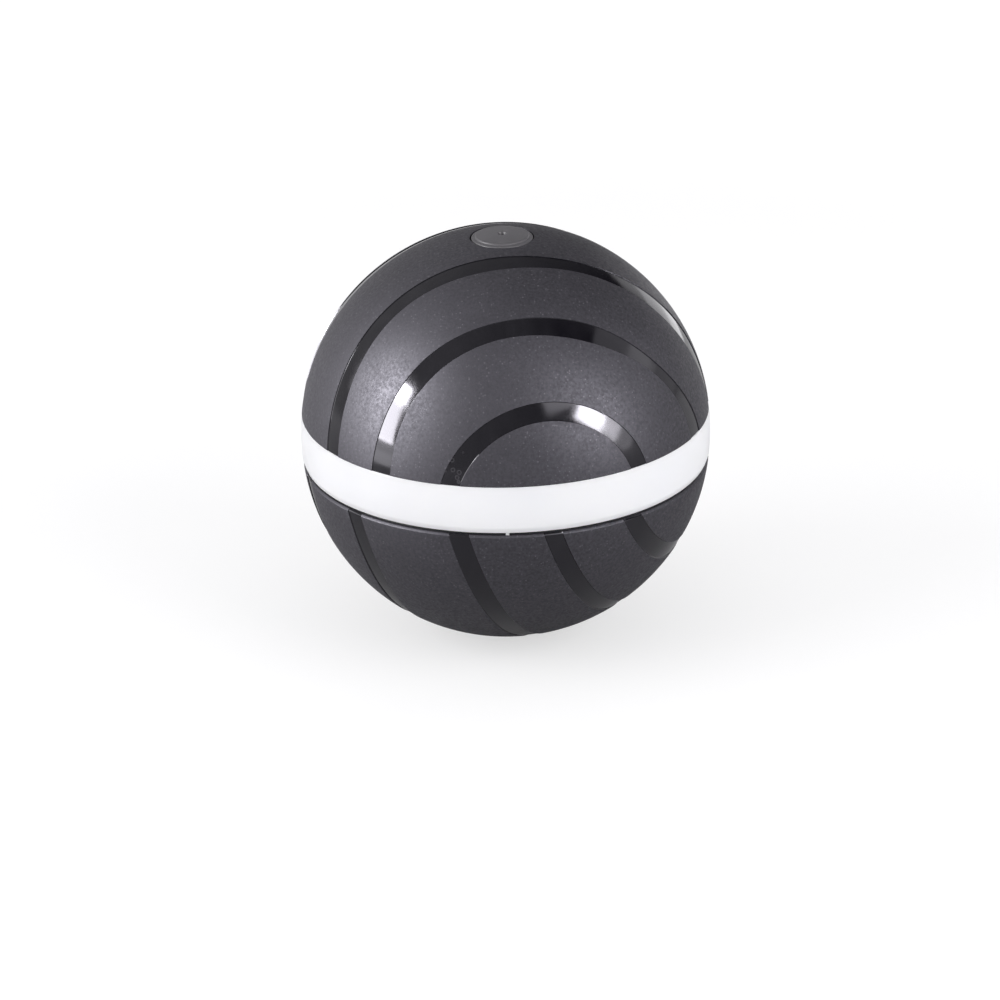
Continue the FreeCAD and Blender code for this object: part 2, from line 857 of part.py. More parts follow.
def motor_shelf():
    wall_middle = case_radius - case_wall / 2
    front = motor_centre.y + motor_flat / 2 + motor_play
    inside = cylinder(wall_middle, floor_top, shelf_top)
    shelf = block(-shelf_half_width, shelf_half_width, -case_radius, front, shelf_bottom, shelf_top)
    low = floor_top - shelf_root
    left = block(-shelf_half_width, cheek_thickness - shelf_half_width, -case_radius, front, low, shelf_top)
    right_front = middle_centre.y - gear_radii(first_wheel_teeth, motor_module)[2]
    right = block(
        shelf_half_width - cheek_thickness, shelf_half_width, -case_radius, right_front, low, shelf_top,
    )
    shelf = fused([shelf, left, right]).common(inside)
    pinion_room = gear_radii(middle_pinion_teeth, middle_module)[2] + shelf_gap
    wheel_room = gear_radii(second_wheel_teeth, middle_module)[2] + shelf_gap
    boss_room = motor_boss_radius + motor_play
    shelf = shelf.cut(cylinder(pinion_room, low, shelf_top, middle_centre.x, middle_centre.y))
    shelf = shelf.cut(cylinder(wheel_room, low, shelf_top, last_centre.x, last_centre.y))
    return shelf.cut(cylinder(boss_room, shelf_bottom, shelf_top, motor_centre.x, motor_centre.y))


def gear_case():
    pieces = [
        cylinder(case_radius, case_floor, floor_top),
        tube(case_radius, case_radius - case_wall, case_floor, cover_underside),
        motor_shelf(),
    ]
    for azimuth in case_post_azimuths:
        place = polar(case_post_circle, azimuth)
        pieces.append(cylinder(case_post_radius, case_floor, cover_underside, place.x, place.y))
    for azimuth in core_screw_azimuths:
        place = polar(core_screw_circle, azimuth)
        pieces.append(cylinder(core_boss_radius, board_top, floor_top, place.x, place.y))
    cuts = lead_holes(case_floor, floor_top)
    cuts.append(cylinder(journal_bore - lead_radius, case_floor, floor_top))
    for azimuth in case_post_azimuths:
        place = polar(case_post_circle, azimuth)
        cuts.append(cylinder(screw_radius, cover_top - case_screw_length, cover_underside, place.x, place.y))
    for azimuth in core_screw_azimuths:
        place = polar(core_screw_circle, azimuth)
        cuts.append(cylinder(screw_radius, board_top, case_floor + arbor_seat, place.x, place.y))
    for centre in (middle_centre, last_centre):
        cuts.append(cylinder(arbor_radius, floor_top - arbor_seat, floor_top, centre.x, centre.y))
    return fused(pieces).cut(Part.makeCompound(cuts))


# Lid of the gear case, with the upper journal and the bridge that holds the last gear's pin
def gear_case_cover():
    pieces = [
        cylinder(case_radius, cover_underside, cover_top),
        cylinder(shoulder_radius, cover_top, shoulder_end),
        cylinder(journal_radius, cover_top, journal_end),
    ]
    rib_top = shoulder_end - arbor_seat
    for azimuth in cover_rib_azimuths:
        rib = block(0, cover_rib_reach, -cover_rib_thickness / 2, cover_rib_thickness / 2, cover_top, rib_top)
        pieces.append(turned(rib, azimuth))
    bridge_top = bridge_underside + bridge_thickness
    leg_inner = last_gear_circle + bridge_leg_inner
    leg_outer = last_gear_circle + bridge_leg_outer
    arm = block(
        last_gear_circle, leg_outer, -bridge_half_width, bridge_half_width,
        bridge_underside, bridge_top,
    )
    leg = block(
        leg_inner, leg_outer, -bridge_half_width, bridge_half_width, cover_top, bridge_top,
    )
    pieces.append(turned(arm, last_gear_azimuth))
    pieces.append(turned(leg, last_gear_azimuth))
    pieces.append(cylinder(bridge_half_width, bridge_underside, bridge_top, last_centre.x, last_centre.y))
    opening = gear_radii(last_pinion_teeth, hub_module)[2] + lead_hole_play
    cuts = lead_holes(cover_underside, cover_top) + [
        cylinder(journal_bore, cover_underside, switch_seat),
        cylinder(socket_bore, switch_seat, journal_end),
        cylinder(opening, cover_underside, cover_top, last_centre.x, last_centre.y),
        cylinder(arbor_radius, bridge_underside, bridge_underside + arbor_seat, last_centre.x, last_centre.y),
        cylinder(arbor_radius, cover_underside, cover_underside + arbor_seat,
                 middle_centre.x, middle_centre.y),
        motor_section(motor_play, cover_underside, cover_top),
    ]
    for azimuth in case_post_azimuths:
        place = polar(case_post_circle, azimuth)
        hole = screw_radius + screw_hole_play
        cuts.append(cylinder(hole, cover_underside, cover_top, place.x, place.y))
    for side in (-1, 1):
        cuts.append(cylinder(small_screw_radius, cover_underside, cover_top,
                             side * strap_screw_x, motor_centre.y))
    return fused(pieces).cut(Part.makeCompound(cuts))


def cover_screws():
    piece = screw_down(screw_radius, screw_head_radius, screw_head_height, case_screw_length)
    return screws_at(piece, case_post_circle, case_post_azimuths, cover_top)


def gear_arbors():
    low = floor_top - arbor_seat
    return Part.makeCompound([
        cylinder(arbor_radius, low, cover_underside + arbor_seat, middle_centre.x, middle_centre.y),
        cylinder(arbor_radius, low, bridge_underside + arbor_seat, last_centre.x, last_centre.y),
    ])


# Two meshing sets of teeth on one sleeve
def placed_gear(pieces, centre):
    body = fused(pieces)
    top = body.BoundBox.ZMax
    body = body.cut(cylinder(arbor_radius + arbor_play, body.BoundBox.ZMin, top))
    body.translate(centre)
    return body


def first_reduction_gear():
    wheel = gear_blank(first_wheel_teeth, motor_module, first_wheel_bottom, wheel_face_width)
    pinion_width = second_wheel_top + gear_gap - first_wheel_top
    pinion = gear_blank(middle_pinion_teeth, middle_module, first_wheel_top, pinion_width)
    pinion_turn = gap_towards(azimuth_from_to(middle_centre, last_centre), middle_pinion_teeth)
    return placed_gear([
        cylinder(gear_boss_radius, floor_top + gear_gap, cover_underside - gear_gap),
        turned(wheel, azimuth_from_to(middle_centre, motor_centre)),
        turned(pinion, pinion_turn),
    ], middle_centre)


def second_reduction_gear():
    wheel = gear_blank(second_wheel_teeth, middle_module, second_wheel_bottom, wheel_face_width)
    pinion_bottom = sleeve_start - gear_gap / 2
    pinion = gear_blank(last_pinion_teeth, hub_module, pinion_bottom, hub_face_width + gear_gap)
    pinion_turn = gap_towards(last_gear_azimuth + 180.0, last_pinion_teeth)
    return placed_gear([
        cylinder(second_sleeve_radius, floor_top + gear_gap, pinion_bottom),
        cylinder(gear_boss_radius, pinion_bottom, bridge_underside - gear_gap),
        turned(wheel, azimuth_from_to(last_centre, middle_centre)),
        turned(pinion, pinion_turn),
    ], last_centre)


# Motor, standing on the shelf with its shaft down
def motor_can():
    can_top = shelf_top + motor_can_length
    shell = motor_section(0, shelf_top, can_top)
    hollow = motor_section(-motor_can_wall, shelf_top + motor_front_wall, can_top)
    boss_bottom = shelf_top - motor_boss_height
    boss = cylinder(motor_boss_radius, boss_bottom, shelf_top, motor_centre.x, motor_centre.y)
    bore = motor_shaft_radius + journal_play
    body = fused([shell.cut(hollow), boss])
    return body.cut(cylinder(bore, boss_bottom, can_top, motor_centre.x, motor_centre.y))


def motor_end_cap():
    bottom = shelf_top + motor_can_length
    body = motor_section(0, bottom, motor_top)
    bore = motor_shaft_radius + journal_play
    return body.cut(cylinder(bore, bottom, bottom + motor_cap_length / 2, motor_centre.x, motor_centre.y))


def motor_terminals():
    half = terminal_thickness / 2
    tabs = []
    for side in (-1, 1):
        x = side * terminal_spread
        tabs.append(block(
            x - terminal_width / 2, x + terminal_width / 2, motor_lead_y - half, motor_lead_y + half,
            motor_top, motor_top + terminal_height,
        ))
    return Part.makeCompound(tabs)


def motor_magnets():
    bottom = shelf_top + motor_front_wall + magnet_end_gap
    top = shelf_top + motor_can_length - magnet_end_gap
    outer = motor_width / 2 - motor_can_wall
    arcs = []
    for azimuth in (0.0, 180.0):
        arc = sector(outer - magnet_thickness, outer, bottom, top, azimuth, magnet_half_angle)
        arc.translate(motor_centre)
        arcs.append(arc)
    return Part.makeCompound(arcs)


def motor_shaft():
    bottom = first_wheel_bottom - gear_gap
    top = shelf_top + motor_can_length + motor_cap_length / 2 - gear_gap
    return cylinder(motor_shaft_radius, bottom, top, motor_centre.x, motor_centre.y)


def motor_armature():
    bottom = shelf_top + motor_front_wall + 2 * magnet_end_gap
    top = bottom + armature_length
    body = cylinder(armature_radius, bottom, top)
    for pole in range(armature_poles):
        slot = block(
            armature_radius / 2, motor_width / 2, -armature_slot / 2, armature_slot / 2, bottom, top,
        )
        body = body.cut(turned(slot, 360.0 * pole / armature_poles))
    commutator = cylinder(commutator_radius, top, top + commutator_length)
    body = fused([body, commutator]).cut(cylinder(motor_shaft_radius, bottom, top + commutator_length))
    body.translate(motor_centre)
    return body


def motor_pinion():
    turn = gap_towards(azimuth_from_to(motor_centre, middle_centre), motor_pinion_teeth)
    blank = gear_blank(motor_pinion_teeth, motor_module, first_wheel_bottom, wheel_face_width)
    hole = cylinder(motor_shaft_radius, first_wheel_bottom, first_wheel_top)
    pinion = turned(blank.cut(hole), turn)
    pinion.translate(motor_centre)
    return pinion


# Steel strap over the motor's end, with a foot on each side
def motor_strap():
    inner = motor_width / 2 + motor_play
    outer = strap_outer
    y0 = motor_centre.y - strap_half_width
    y1 = motor_centre.y + strap_half_width
    pieces = [block(-outer, outer, y0, y1, motor_top, motor_top + strap_thickness)]
    for side in (-1, 1):
        near, far = sorted((side * inner, side * outer))
        pieces.append(block(near, far, y0, y1, cover_top, motor_top + strap_thickness))
        near, far = sorted((side * inner, side * strap_foot_reach))
        pieces.append(block(near, far, y0, y1, cover_top, cover_top + strap_thickness))
    body = fused(pieces)
    for side in (-1, 1):
        hole = small_screw_radius + screw_hole_play
        body = body.cut(cylinder(
            hole, cover_top, cover_top + strap_thickness, side * strap_screw_x, motor_centre.y,
        ))
    return body


def motor_strap_screws():
    length = cover_thickness + strap_thickness
    piece = screw_down(small_screw_radius, small_head_radius, small_head_height, length)
    copies = []
    for side in (-1, 1):
        copy = piece.copy()
        copy.translate(Vector(side * strap_screw_x, motor_centre.y, cover_top + strap_thickness))
        copies.append(copy)
    return Part.makeCompound(copies)


def motor_leads():
    height = motor_top + terminal_height / 2
    leads = []
    for side in (-1, 1):
        start = side * (terminal_spread + terminal_width / 2)
        leads.append(lead([
            Vector(start, motor_lead_y, height),
            Vector(side * motor_lead_x, motor_lead_y, height),
            Vector(side * motor_lead_x, motor_lead_y, board_top),
        ]))
    return Part.makeCompound(leads)


# Main board with what is soldered to it
def main_board():
    board = cylinder(board_radius, board_bottom, board_top)
    for azimuth in core_screw_azimuths:
        place = polar(core_screw_circle, azimuth)
        hole = screw_radius + screw_hole_play
        board = board.cut(cylinder(hole, board_bottom, board_top, place.x, place.y))
    return board


def board_chips():
    chips = []
    for x, y, width, depth, height in top_chips:
        chips.append(block(
            x - width / 2, x + width / 2, y - depth / 2, y + depth / 2, board_top, board_top + height,
        ))
    return Part.makeCompound(chips)


def light_emitters():
    radial, along, height = led_size
    emitter = block(
        led_circle - radial / 2, led_circle + radial / 2, -along / 2, along / 2,
        board_top, board_top + height,
    )
    emitters = []
    for index in range(led_count):
        emitters.append(turned(emitter, led_first_azimuth + 360.0 * index / led_count))
    return Part.makeCompound(emitters)


# Cradle under the board, with the lower journal
def cradle_plate():
    pieces = [cylinder(cradle_disc_radius, cradle_bottom, cradle_top)]
    pieces.append(sector(
        0, weight_outer + cradle_rim_margin, cradle_bottom, cradle_top, -90.0, plate_half_angle,
    ))
    for azimuth in core_screw_azimuths:
        place = polar(core_screw_circle, azimuth)
        arm = block(
            0, core_screw_circle, -cradle_arm_half_width, cradle_arm_half_width,
            cradle_bottom, cradle_top,
        )
        pieces.append(turned(arm, azimuth))
        pieces.append(cylinder(cradle_arm_half_width, cradle_bottom, cradle_top, place.x, place.y))
        pieces.append(cylinder(core_boss_radius, cradle_bottom, board_bottom, place.x, place.y))
    return pieces


def battery_fence():
    width, depth = battery_size[:2]
    reach = width / 2 + battery_play
    front = battery_back + battery_play
    back = battery_back - depth - battery_play
    top = cradle_top + fence_height
    walls = []
    for side in (-1, 1):
        near, far = sorted((side * reach, side * (reach + fence_thickness)))
        walls.append(block(near, far, back + fence_cut, battery_back, cradle_bottom, top))
        near, far = sorted((side * fence_front_start, side * fence_front_end))
        walls.append(block(near, far, front, front + fence_thickness, cradle_bottom, top))
    half = reach - fence_cut
    walls.append(block(-half, half, back - fence_thickness, back, cradle_bottom, top))
    return walls


def cradle():
    pieces = cradle_plate() + battery_fence()
    pieces.append(cylinder(shoulder_radius, -shoulder_end, cradle_top))
    pieces.append(cylinder(journal_radius, -journal_end, cradle_top))
    for azimuth in cradle_rib_azimuths:
        rib = block(
            0, cradle_rib_reach, -cover_rib_thickness / 2, cover_rib_thickness / 2,
            arbor_seat - shoulder_end, cradle_top,
        )
        pieces.append(turned(rib, azimuth))
    body = fused(pieces)
    cuts = [
        cylinder(journal_bore, port_seat, cradle_top + fence_height),
        cylinder(socket_bore, -journal_end, port_seat),
    ]
    hole = screw_radius + screw_hole_play
    for azimuth in core_screw_azimuths:
        place = polar(core_screw_circle, azimuth)
        cuts.append(cylinder(hole, cradle_bottom, board_bottom, place.x, place.y))
    for azimuth in weight_screw_azimuths:
        place = polar(weight_screw_circle, azimuth)
        cuts.append(cylinder(hole, cradle_bottom, cradle_top, place.x, place.y))
    return body.cut(Part.makeCompound(cuts))


def core_screws():
    length = case_floor + arbor_seat - cradle_bottom
    piece = screw(screw_radius, screw_head_radius, screw_head_height, length)
    return screws_at(piece, core_screw_circle, core_screw_azimuths, cradle_bottom)


def counterweight():
    top = cradle_top + weight_height
    body = sector(weight_inner, weight_outer, cradle_top, top, -90.0, weight_half_angle)
    for azimuth in core_screw_azimuths:
        place = polar(core_screw_circle, azimuth)
        body = body.cut(cylinder(core_boss_radius + battery_play, cradle_top, top, place.x, place.y))
    for azimuth in weight_screw_azimuths:
        place = polar(weight_screw_circle, azimuth)
        body = body.cut(cylinder(screw_radius, cradle_top, cradle_top + weight_screw_grip, place.x, place.y))
    return body


def counterweight_screws():
    length = cradle_thickness + weight_screw_grip
    piece = screw(screw_radius, screw_head_radius, screw_head_height, length)
    return screws_at(piece, weight_screw_circle, weight_screw_azimuths, cradle_bottom)


# Battery on its foam pad
def battery_block(bottom, top, inset):
    width, depth = battery_size[:2]
    body = block(
        inset - width / 2, width / 2 - inset, battery_back - depth + inset, battery_back - inset, bottom, top,
    )
    upright = [edge for edge in body.Edges if abs(edge.tangentAt(edge.FirstParameter).z) > 0.9]
    return body.makeFillet(battery_corner, upright)


def battery_cell():
    bottom = cradle_top + pad_thickness
    return battery_block(bottom, bottom + battery_size[2], 0)


def battery_pad():
    bore = cylinder(journal_bore, cradle_top, cradle_top + pad_thickness)
    return battery_block(cradle_top, cradle_top + pad_thickness, battery_corner / 2).cut(bore)


def battery_leads():
    end = battery_size[0] / 2
    bend_x = end + battery_lead_reach
    middle = battery_back - battery_size[1] / 2
    leads = []
    for side in (-1, 1):
        y = middle + side * battery_lead_spread / 2
        leads.append(lead([
            Vector(end, y, battery_lead_z),
            Vector(bend_x, y, battery_lead_z),
            Vector(bend_x, y, board_bottom),
        ]))
    return Part.makeCompound(leads)


# Push switch inside the upper journal
def switch_board():
    return cylinder(socket_bore - small_fit, switch_seat, switch_seat + switch_board_thickness)


def switch_body():
    bottom = switch_seat + switch_board_thickness
    top = bottom + switch_height
    half = switch_side / 2
    body = block(-half, half, -half, half, bottom, top)
    room = plunger_sink + button_travel
    return body.cut(cylinder(plunger_radius + plunger_play, top - room, top))


def switch_plunger():
    return cylinder(plunger_radius, plunger_top - plunger_height - plunger_sink, plunger_top)


def straight_leads(x, y, bottom, top):
    return Part.makeCompound([cylinder(lead_radius, bottom, top, side * x, y) for side in (-1, 1)])


def switch_leads():
    return straight_leads(switch_lead_x, switch_lead_y, board_top, switch_seat)


# Charging socket inside the lower journal
def flat_section(width, depth, bottom, top):
    half = (width - depth) / 2
    return fused([
        block(-half, half, -depth / 2, depth / 2, bottom, top),
        cylinder(depth / 2, bottom, top, half, 0),
        cylinder(depth / 2, bottom, top, -half, 0),
    ])


def charge_socket():
    skin = 2 * socket_skin
    shell = flat_section(socket_width, socket_depth, socket_mouth, socket_root)
    room = flat_section(socket_width - skin, socket_depth - skin, socket_mouth, socket_root - socket_back)
    return shell.cut(room)


def socket_tongue():
    return block(
        -tongue_width / 2, tongue_width / 2, -tongue_thickness / 2, tongue_thickness / 2,
        socket_mouth + tongue_setback, socket_root - socket_back,
    )


def port_board():
    return cylinder(socket_bore - small_fit, socket_root, port_seat)


def port_leads():
    return straight_leads(port_lead_x, port_lead_y, port_seat, board_bottom)


nodes = {
    "upper_shell": upper_shell,
    "lower_shell": lower_shell,
    "light_ring": light_ring,
    "seam_gasket": seam_gasket,
    "upper_ring_seal": upper_ring_seal,
    "lower_ring_seal": lambda: flipped(upper_ring_seal()),
    "drive_hub": drive_hub,
    "drive_hub_screws": hub_screws,
    "lower_hub": lower_hub,
    "lower_hub_screws": lambda: flipped(hub_screws()),
    "button_return_ring": button_return_ring,
    "power_button": power_button,
    "button_clip": button_clip,
    "port_plug": port_plug,
    "gear_case": gear_case,
    "gear_case_cover": gear_case_cover,
    "cover_screws": cover_screws,
    "gear_arbors": gear_arbors,
    "upper_thrust_washer": upper_thrust_washer,
    "lower_thrust_washer": lambda: flipped(upper_thrust_washer()),
    "motor_can": motor_can,
    "motor_end_cap": motor_end_cap,
    "motor_terminals": motor_terminals,
    "motor_magnets": motor_magnets,
    "motor_strap": motor_strap,
    "motor_strap_screws": motor_strap_screws,
    "motor_leads": motor_leads,
    "motor_shaft": motor_shaft,
    "motor_armature": motor_armature,
    "motor_pinion": motor_pinion,
    "first_reduction_gear": first_reduction_gear,
    "second_reduction_gear": second_reduction_gear,
    "main_board": main_board,
    "board_chips": board_chips,
    "light_emitters": light_emitters,
    "cradle": cradle,
    "core_screws": core_screws,
    "counterweight": counterweight,
    "counterweight_screws": counterweight_screws,
    "battery_cell": battery_cell,
    "battery_pad": battery_pad,
    "battery_leads": battery_leads,
    "switch_board": switch_board,
    "switch_body": switch_body,
    "switch_plunger": switch_plunger,
    "switch_leads": switch_leads,
    "port_board": port_board,
    "charge_socket": charge_socket,
    "socket_tongue": socket_tongue,
    "port_leads": port_leads,
}

os.makedirs("parts", exist_ok=True)
for name, make in nodes.items():
    make().exportStep("parts/" + name + ".step")
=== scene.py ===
import json
import math

import bmesh
import bpy
from mathutils import Matrix, Vector


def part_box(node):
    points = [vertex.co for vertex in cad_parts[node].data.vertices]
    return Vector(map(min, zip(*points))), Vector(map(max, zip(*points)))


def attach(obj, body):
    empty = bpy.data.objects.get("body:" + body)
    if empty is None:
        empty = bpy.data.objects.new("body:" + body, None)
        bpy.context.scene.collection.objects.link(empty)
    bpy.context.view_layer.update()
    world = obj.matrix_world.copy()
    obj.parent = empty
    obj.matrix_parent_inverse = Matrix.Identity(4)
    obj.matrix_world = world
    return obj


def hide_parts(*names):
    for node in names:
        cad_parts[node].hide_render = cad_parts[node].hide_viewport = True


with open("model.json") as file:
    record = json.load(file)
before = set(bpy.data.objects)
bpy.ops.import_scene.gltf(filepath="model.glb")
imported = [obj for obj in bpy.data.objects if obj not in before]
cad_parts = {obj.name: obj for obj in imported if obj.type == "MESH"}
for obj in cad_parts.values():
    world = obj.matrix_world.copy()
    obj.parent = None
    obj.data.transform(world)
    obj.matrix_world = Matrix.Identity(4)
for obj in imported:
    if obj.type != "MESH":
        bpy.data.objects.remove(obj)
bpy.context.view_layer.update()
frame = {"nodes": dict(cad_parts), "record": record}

print("frame loaded,", len(frame["nodes"]), "nodes")

mm = 0.001
tiny = 1e-7  # a profile's point nearer the axis than this is on it
weld = 1e-6  # a turned ring's seam is closed within this

# Sizes that every piece shares, read off the frame
ball = {
    "radius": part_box("light_ring")[1].x,
    "pole": -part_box("port_plug")[0].z,
    "bandTop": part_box("upper_shell")[0].z,
    "bandBottom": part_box("seam_gasket")[1].z,
    "lowerRim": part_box("lower_shell")[1].z,
    "turnSteps": 288,  # quads round the ball
}
capShift = ball["pole"] - ball["radius"]  # the caps' centres lie this far above and below the middle


# Mesh helpers

def newObject(name, mesh, materials):
    piece = bpy.data.objects.new(name, mesh)
    bpy.context.scene.collection.objects.link(piece)
    for material in materials:
        mesh.materials.append(material)
    return piece


def smooth(mesh):
    for polygon in mesh.polygons:
        polygon.use_smooth = True
    return mesh


def meshFrom(bm, name):
    mesh = bpy.data.meshes.new(name)
    bm.to_mesh(mesh)
    bm.free()
    return smooth(mesh)


def polarPlace(azimuth, elevation, distance=1.0):
    a, e = math.radians(azimuth), math.radians(elevation)
    return Vector((math.cos(e) * math.cos(a), math.cos(e) * math.sin(a), math.sin(e))) * distance


def spherePoint(angle, radius, shift):
    # a point of the profile on a cap's sphere, at an angle up from the equator
    return (radius * math.cos(angle), shift + radius * math.sin(angle))


def arcPoints(start, end, radius, shift, count):
    return [spherePoint(start + (end - start) * i / count, radius, shift) for i in range(count + 1)]


def eased(before, corner, after, reach, steps=4):
    # replaces a profile corner by a small quadratic curve
    corner, before, after = Vector(corner), Vector(before), Vector(after)
    a = corner + (before - corner).normalized() * reach
    b = corner + (after - corner).normalized() * reach
    points = []
    for i in range(steps + 1):
        t = i / steps
        point = a * (1 - t) ** 2 + corner * 2 * t * (1 - t) + b * t * t
        points.append((point.x, point.y))
    return points


def turnedMesh(bm, profile, steps, closed=True, centre=(0, 0)):
    # revolves a profile about Z and gives back the rows of faces
    rows = []
    for r, z in profile:
        if r < tiny:
            rows.append([bm.verts.new((*centre, z))] * steps)
            continue
        row = []
        for k in range(steps):
            turn = 2 * math.pi * k / steps
            row.append(bm.verts.new((centre[0] + r * math.cos(turn), centre[1] + r * math.sin(turn), z)))
        rows.append(row)
    faceRows = []
    for i in range(len(rows) if closed else len(rows) - 1):
        upper, lower = rows[i], rows[(i + 1) % len(rows)]
        faces = []
        for k in range(steps):
            corners = []
            for vert in (upper[k], upper[(k + 1) % steps], lower[(k + 1) % steps], lower[k]):
                if vert not in corners:
                    corners.append(vert)
            if len(corners) > 2:
                faces.append(bm.faces.new(corners))
        faceRows.append(faces)
    return faceRows


def turnedPiece(name, profile, materials, steps, sharpAngle=32):
    bm = bmesh.new()
    turnedMesh(bm, profile, steps, closed=False)
    bmesh.ops.recalc_face_normals(bm, faces=bm.faces)
    mesh = meshFrom(bm, name)
    mesh.set_sharp_from_angle(angle=math.radians(sharpAngle))
    return newObject(name, mesh, materials)


def cutAlong(faces, field, level, nearest=0.02):
    # cuts the faces where field equals level, as a knife would, and keeps each cut a share off an edge's ends
    verts = {vert for face in faces for vert in face.verts}
    edges = {edge for face in faces for edge in face.edges}
    value = {vert: field(vert.co) - level for vert in verts}
    touched = set()
    for edge in edges:
        a, b = edge.verts
        if value[a] * value[b] < 0:
            share = value[a] / (value[a] - value[b])
            new = bmesh.utils.edge_split(edge, a, min(max(share, nearest), 1 - nearest))[1]
            value[new] = 0.0
            touched.update(new.link_faces)
    made = []
    for face in touched & set(faces):
        ends = [vert for vert in face.verts if value.get(vert) == 0.0]
        if len(ends) == 2 and not any(ends[1] in edge.verts for edge in ends[0].link_edges):
            made.append(bmesh.utils.face_split(face, ends[0], ends[1])[0])
    return set(faces) | set(made)


# Node helpers, for materials and for geometry. A socket knows which tree it is in

def feed(tree, node, inputs):
    # links the sockets given, and sets the plain values
    for key, value in inputs.items():
        if isinstance(value, bpy.types.NodeSocket):
            tree.links.new(value, node.inputs[key])
        else:
            node.inputs[key].default_value = value


def addNode(tree, kind, inputs=None, **settings):
    node = tree.nodes.new(kind)
    for key, value in settings.items():
        setattr(node, key, value)
    feed(tree, node, inputs or {})
    return node


def mathNode(operation, a, b=0.0, clamp=False):
    tree = (a if isinstance(a, bpy.types.NodeSocket) else b).id_data
    return addNode(tree, "ShaderNodeMath", {0: a, 1: b}, operation=operation, use_clamp=clamp).outputs[0]


def plus(a, b, clamp=False):
    return mathNode("ADD", a, b, clamp)


def minus(a, b):
    return mathNode("SUBTRACT", a, b)


def times(a, b, clamp=False):
    return mathNode("MULTIPLY", a, b, clamp)


def newMaterial(name):
    material = bpy.data.materials.new(name)
    material.use_nodes = True
    nodes = material.node_tree.nodes
    nodes.clear()
    output = nodes.new("ShaderNodeOutputMaterial")
    shader = nodes.new("ShaderNodeBsdfPrincipled")
    material.node_tree.links.new(shader.outputs["BSDF"], output.inputs["Surface"])
    return material, material.node_tree, shader


def objectPlace(tree, scale=(1, 1, 1), turn=(0, 0, 0)):
    place = addNode(tree, "ShaderNodeTexCoord").outputs["Object"]
    return addNode(tree, "ShaderNodeMapping", {"Vector": place, "Scale": scale, "Rotation": turn}).outputs["Vector"]


def noise(place, scale, detail=2.0, roughness=0.5, distortion=0.0):
    return addNode(place.id_data, "ShaderNodeTexNoise", {
        "Vector": place, "Scale": scale, "Detail": detail, "Roughness": roughness, "Distortion": distortion,
    }).outputs["Fac"]


def cellNoise(place, scale):
    # the distance from each cell's middle, and a random number for each cell
    tree = place.id_data
    cells = addNode(tree, "ShaderNodeTexVoronoi", {"Vector": place, "Scale": scale})
    chance = addNode(tree, "ShaderNodeSeparateColor", {"Color": cells.outputs["Color"]}).outputs[0]
    return cells.outputs["Distance"], chance


def ranged(value, low, high, newLow, newHigh):
    node = addNode(value.id_data, "ShaderNodeMapRange", {
        "Value": value, "From Min": low, "From Max": high, "To Min": newLow, "To Max": newHigh,
    })
    return node.outputs["Result"]


def mixColour(share, a, b):
    # inputs 6 and 7 and output 2 are the node's colours
    node = addNode(share.id_data, "ShaderNodeMix", {"Factor": share}, data_type="RGBA")
    for socket, colour in ((node.inputs[6], a), (node.inputs[7], b)):
        if isinstance(colour, bpy.types.NodeSocket):
            share.id_data.links.new(colour, socket)
        else:
            socket.default_value = (*colour, 1.0)
    return node.outputs[2]


def bump(height, distance):
    return addNode(height.id_data, "ShaderNodeBump", {"Height": height, "Distance": distance}).outputs["Normal"]


# Finishes of the outside

noiseSpan = (0.3, 0.7)  # where most values of a noise lie

shellFinish = {
    "colour": (0.0085, 0.0080, 0.0100),
    "paler": (0.0330, 0.0310, 0.0370),
    "fleckColour": (0.105, 0.101, 0.112),
    "fleckShare": 0.10,
    "fleckLeast": 0.25,
    "fleckReach": (0.15, 0.55),
    "fleckScale": 2700,
    "roughness": 0.53,
    "mottle": 1700,  # per metre, so about half a millimetre
    "mottleSpan": (0.33, 0.67),
    "mottleTone": 0.75,
    "mottleRoughness": 0.07,
    "mottleHeight": 0.8,
    "cloud": 60.0,
    "cloudTone": 0.25,
    "handled": 170.0,
    "handledSpan": (0.35, 0.7),
    "handledRoughness": (-0.03, 0.04),
    "grain": 3600,
    "grainHeight": 0.014 * mm,
    "specular": 0.74,
    "specularTint": (0.91, 0.89, 1.0, 1.0),
}


def mattShell():
    f = shellFinish
    material, tree, shader = newMaterial("fleckedShellPlastic")
    place = objectPlace(tree)
    mottle = noise(place, f["mottle"], 2.0, 0.6)
    grain = noise(place, f["grain"], 1.0)
    cloud = noise(place, f["cloud"], 3.0, 0.6)
    handled = noise(place, f["handled"], 4.0, 0.65, 0.6)
    distance, chance = cellNoise(place, f["fleckScale"])
    least = 1 - f["fleckShare"]
    chosen = mathNode("GREATER_THAN", chance, least)
    fleck = times(ranged(chance, least, 1.0, f["fleckLeast"], 1.0), chosen)
    fleck = times(fleck, ranged(distance, *f["fleckReach"], 1.0, 0.0), True)
    tone = plus(ranged(mottle, *f["mottleSpan"], 0.0, f["mottleTone"]),
                ranged(cloud, *noiseSpan, 0.0, f["cloudTone"]))
    colour = mixColour(tone, f["colour"], f["paler"])
    uneven = plus(ranged(mottle, *f["mottleSpan"], f["mottleRoughness"], -f["mottleRoughness"]),
                  ranged(handled, *f["handledSpan"], *f["handledRoughness"]))
    height = plus(grain, times(mottle, f["mottleHeight"]))
    feed(tree, shader, {
        "Base Color": mixColour(fleck, colour, f["fleckColour"]),
        "Roughness": plus(uneven, f["roughness"]),
        "Normal": bump(height, f["grainHeight"]),
        "Specular IOR Level": f["specular"],
        "Specular Tint": f["specularTint"],
    })
    return material


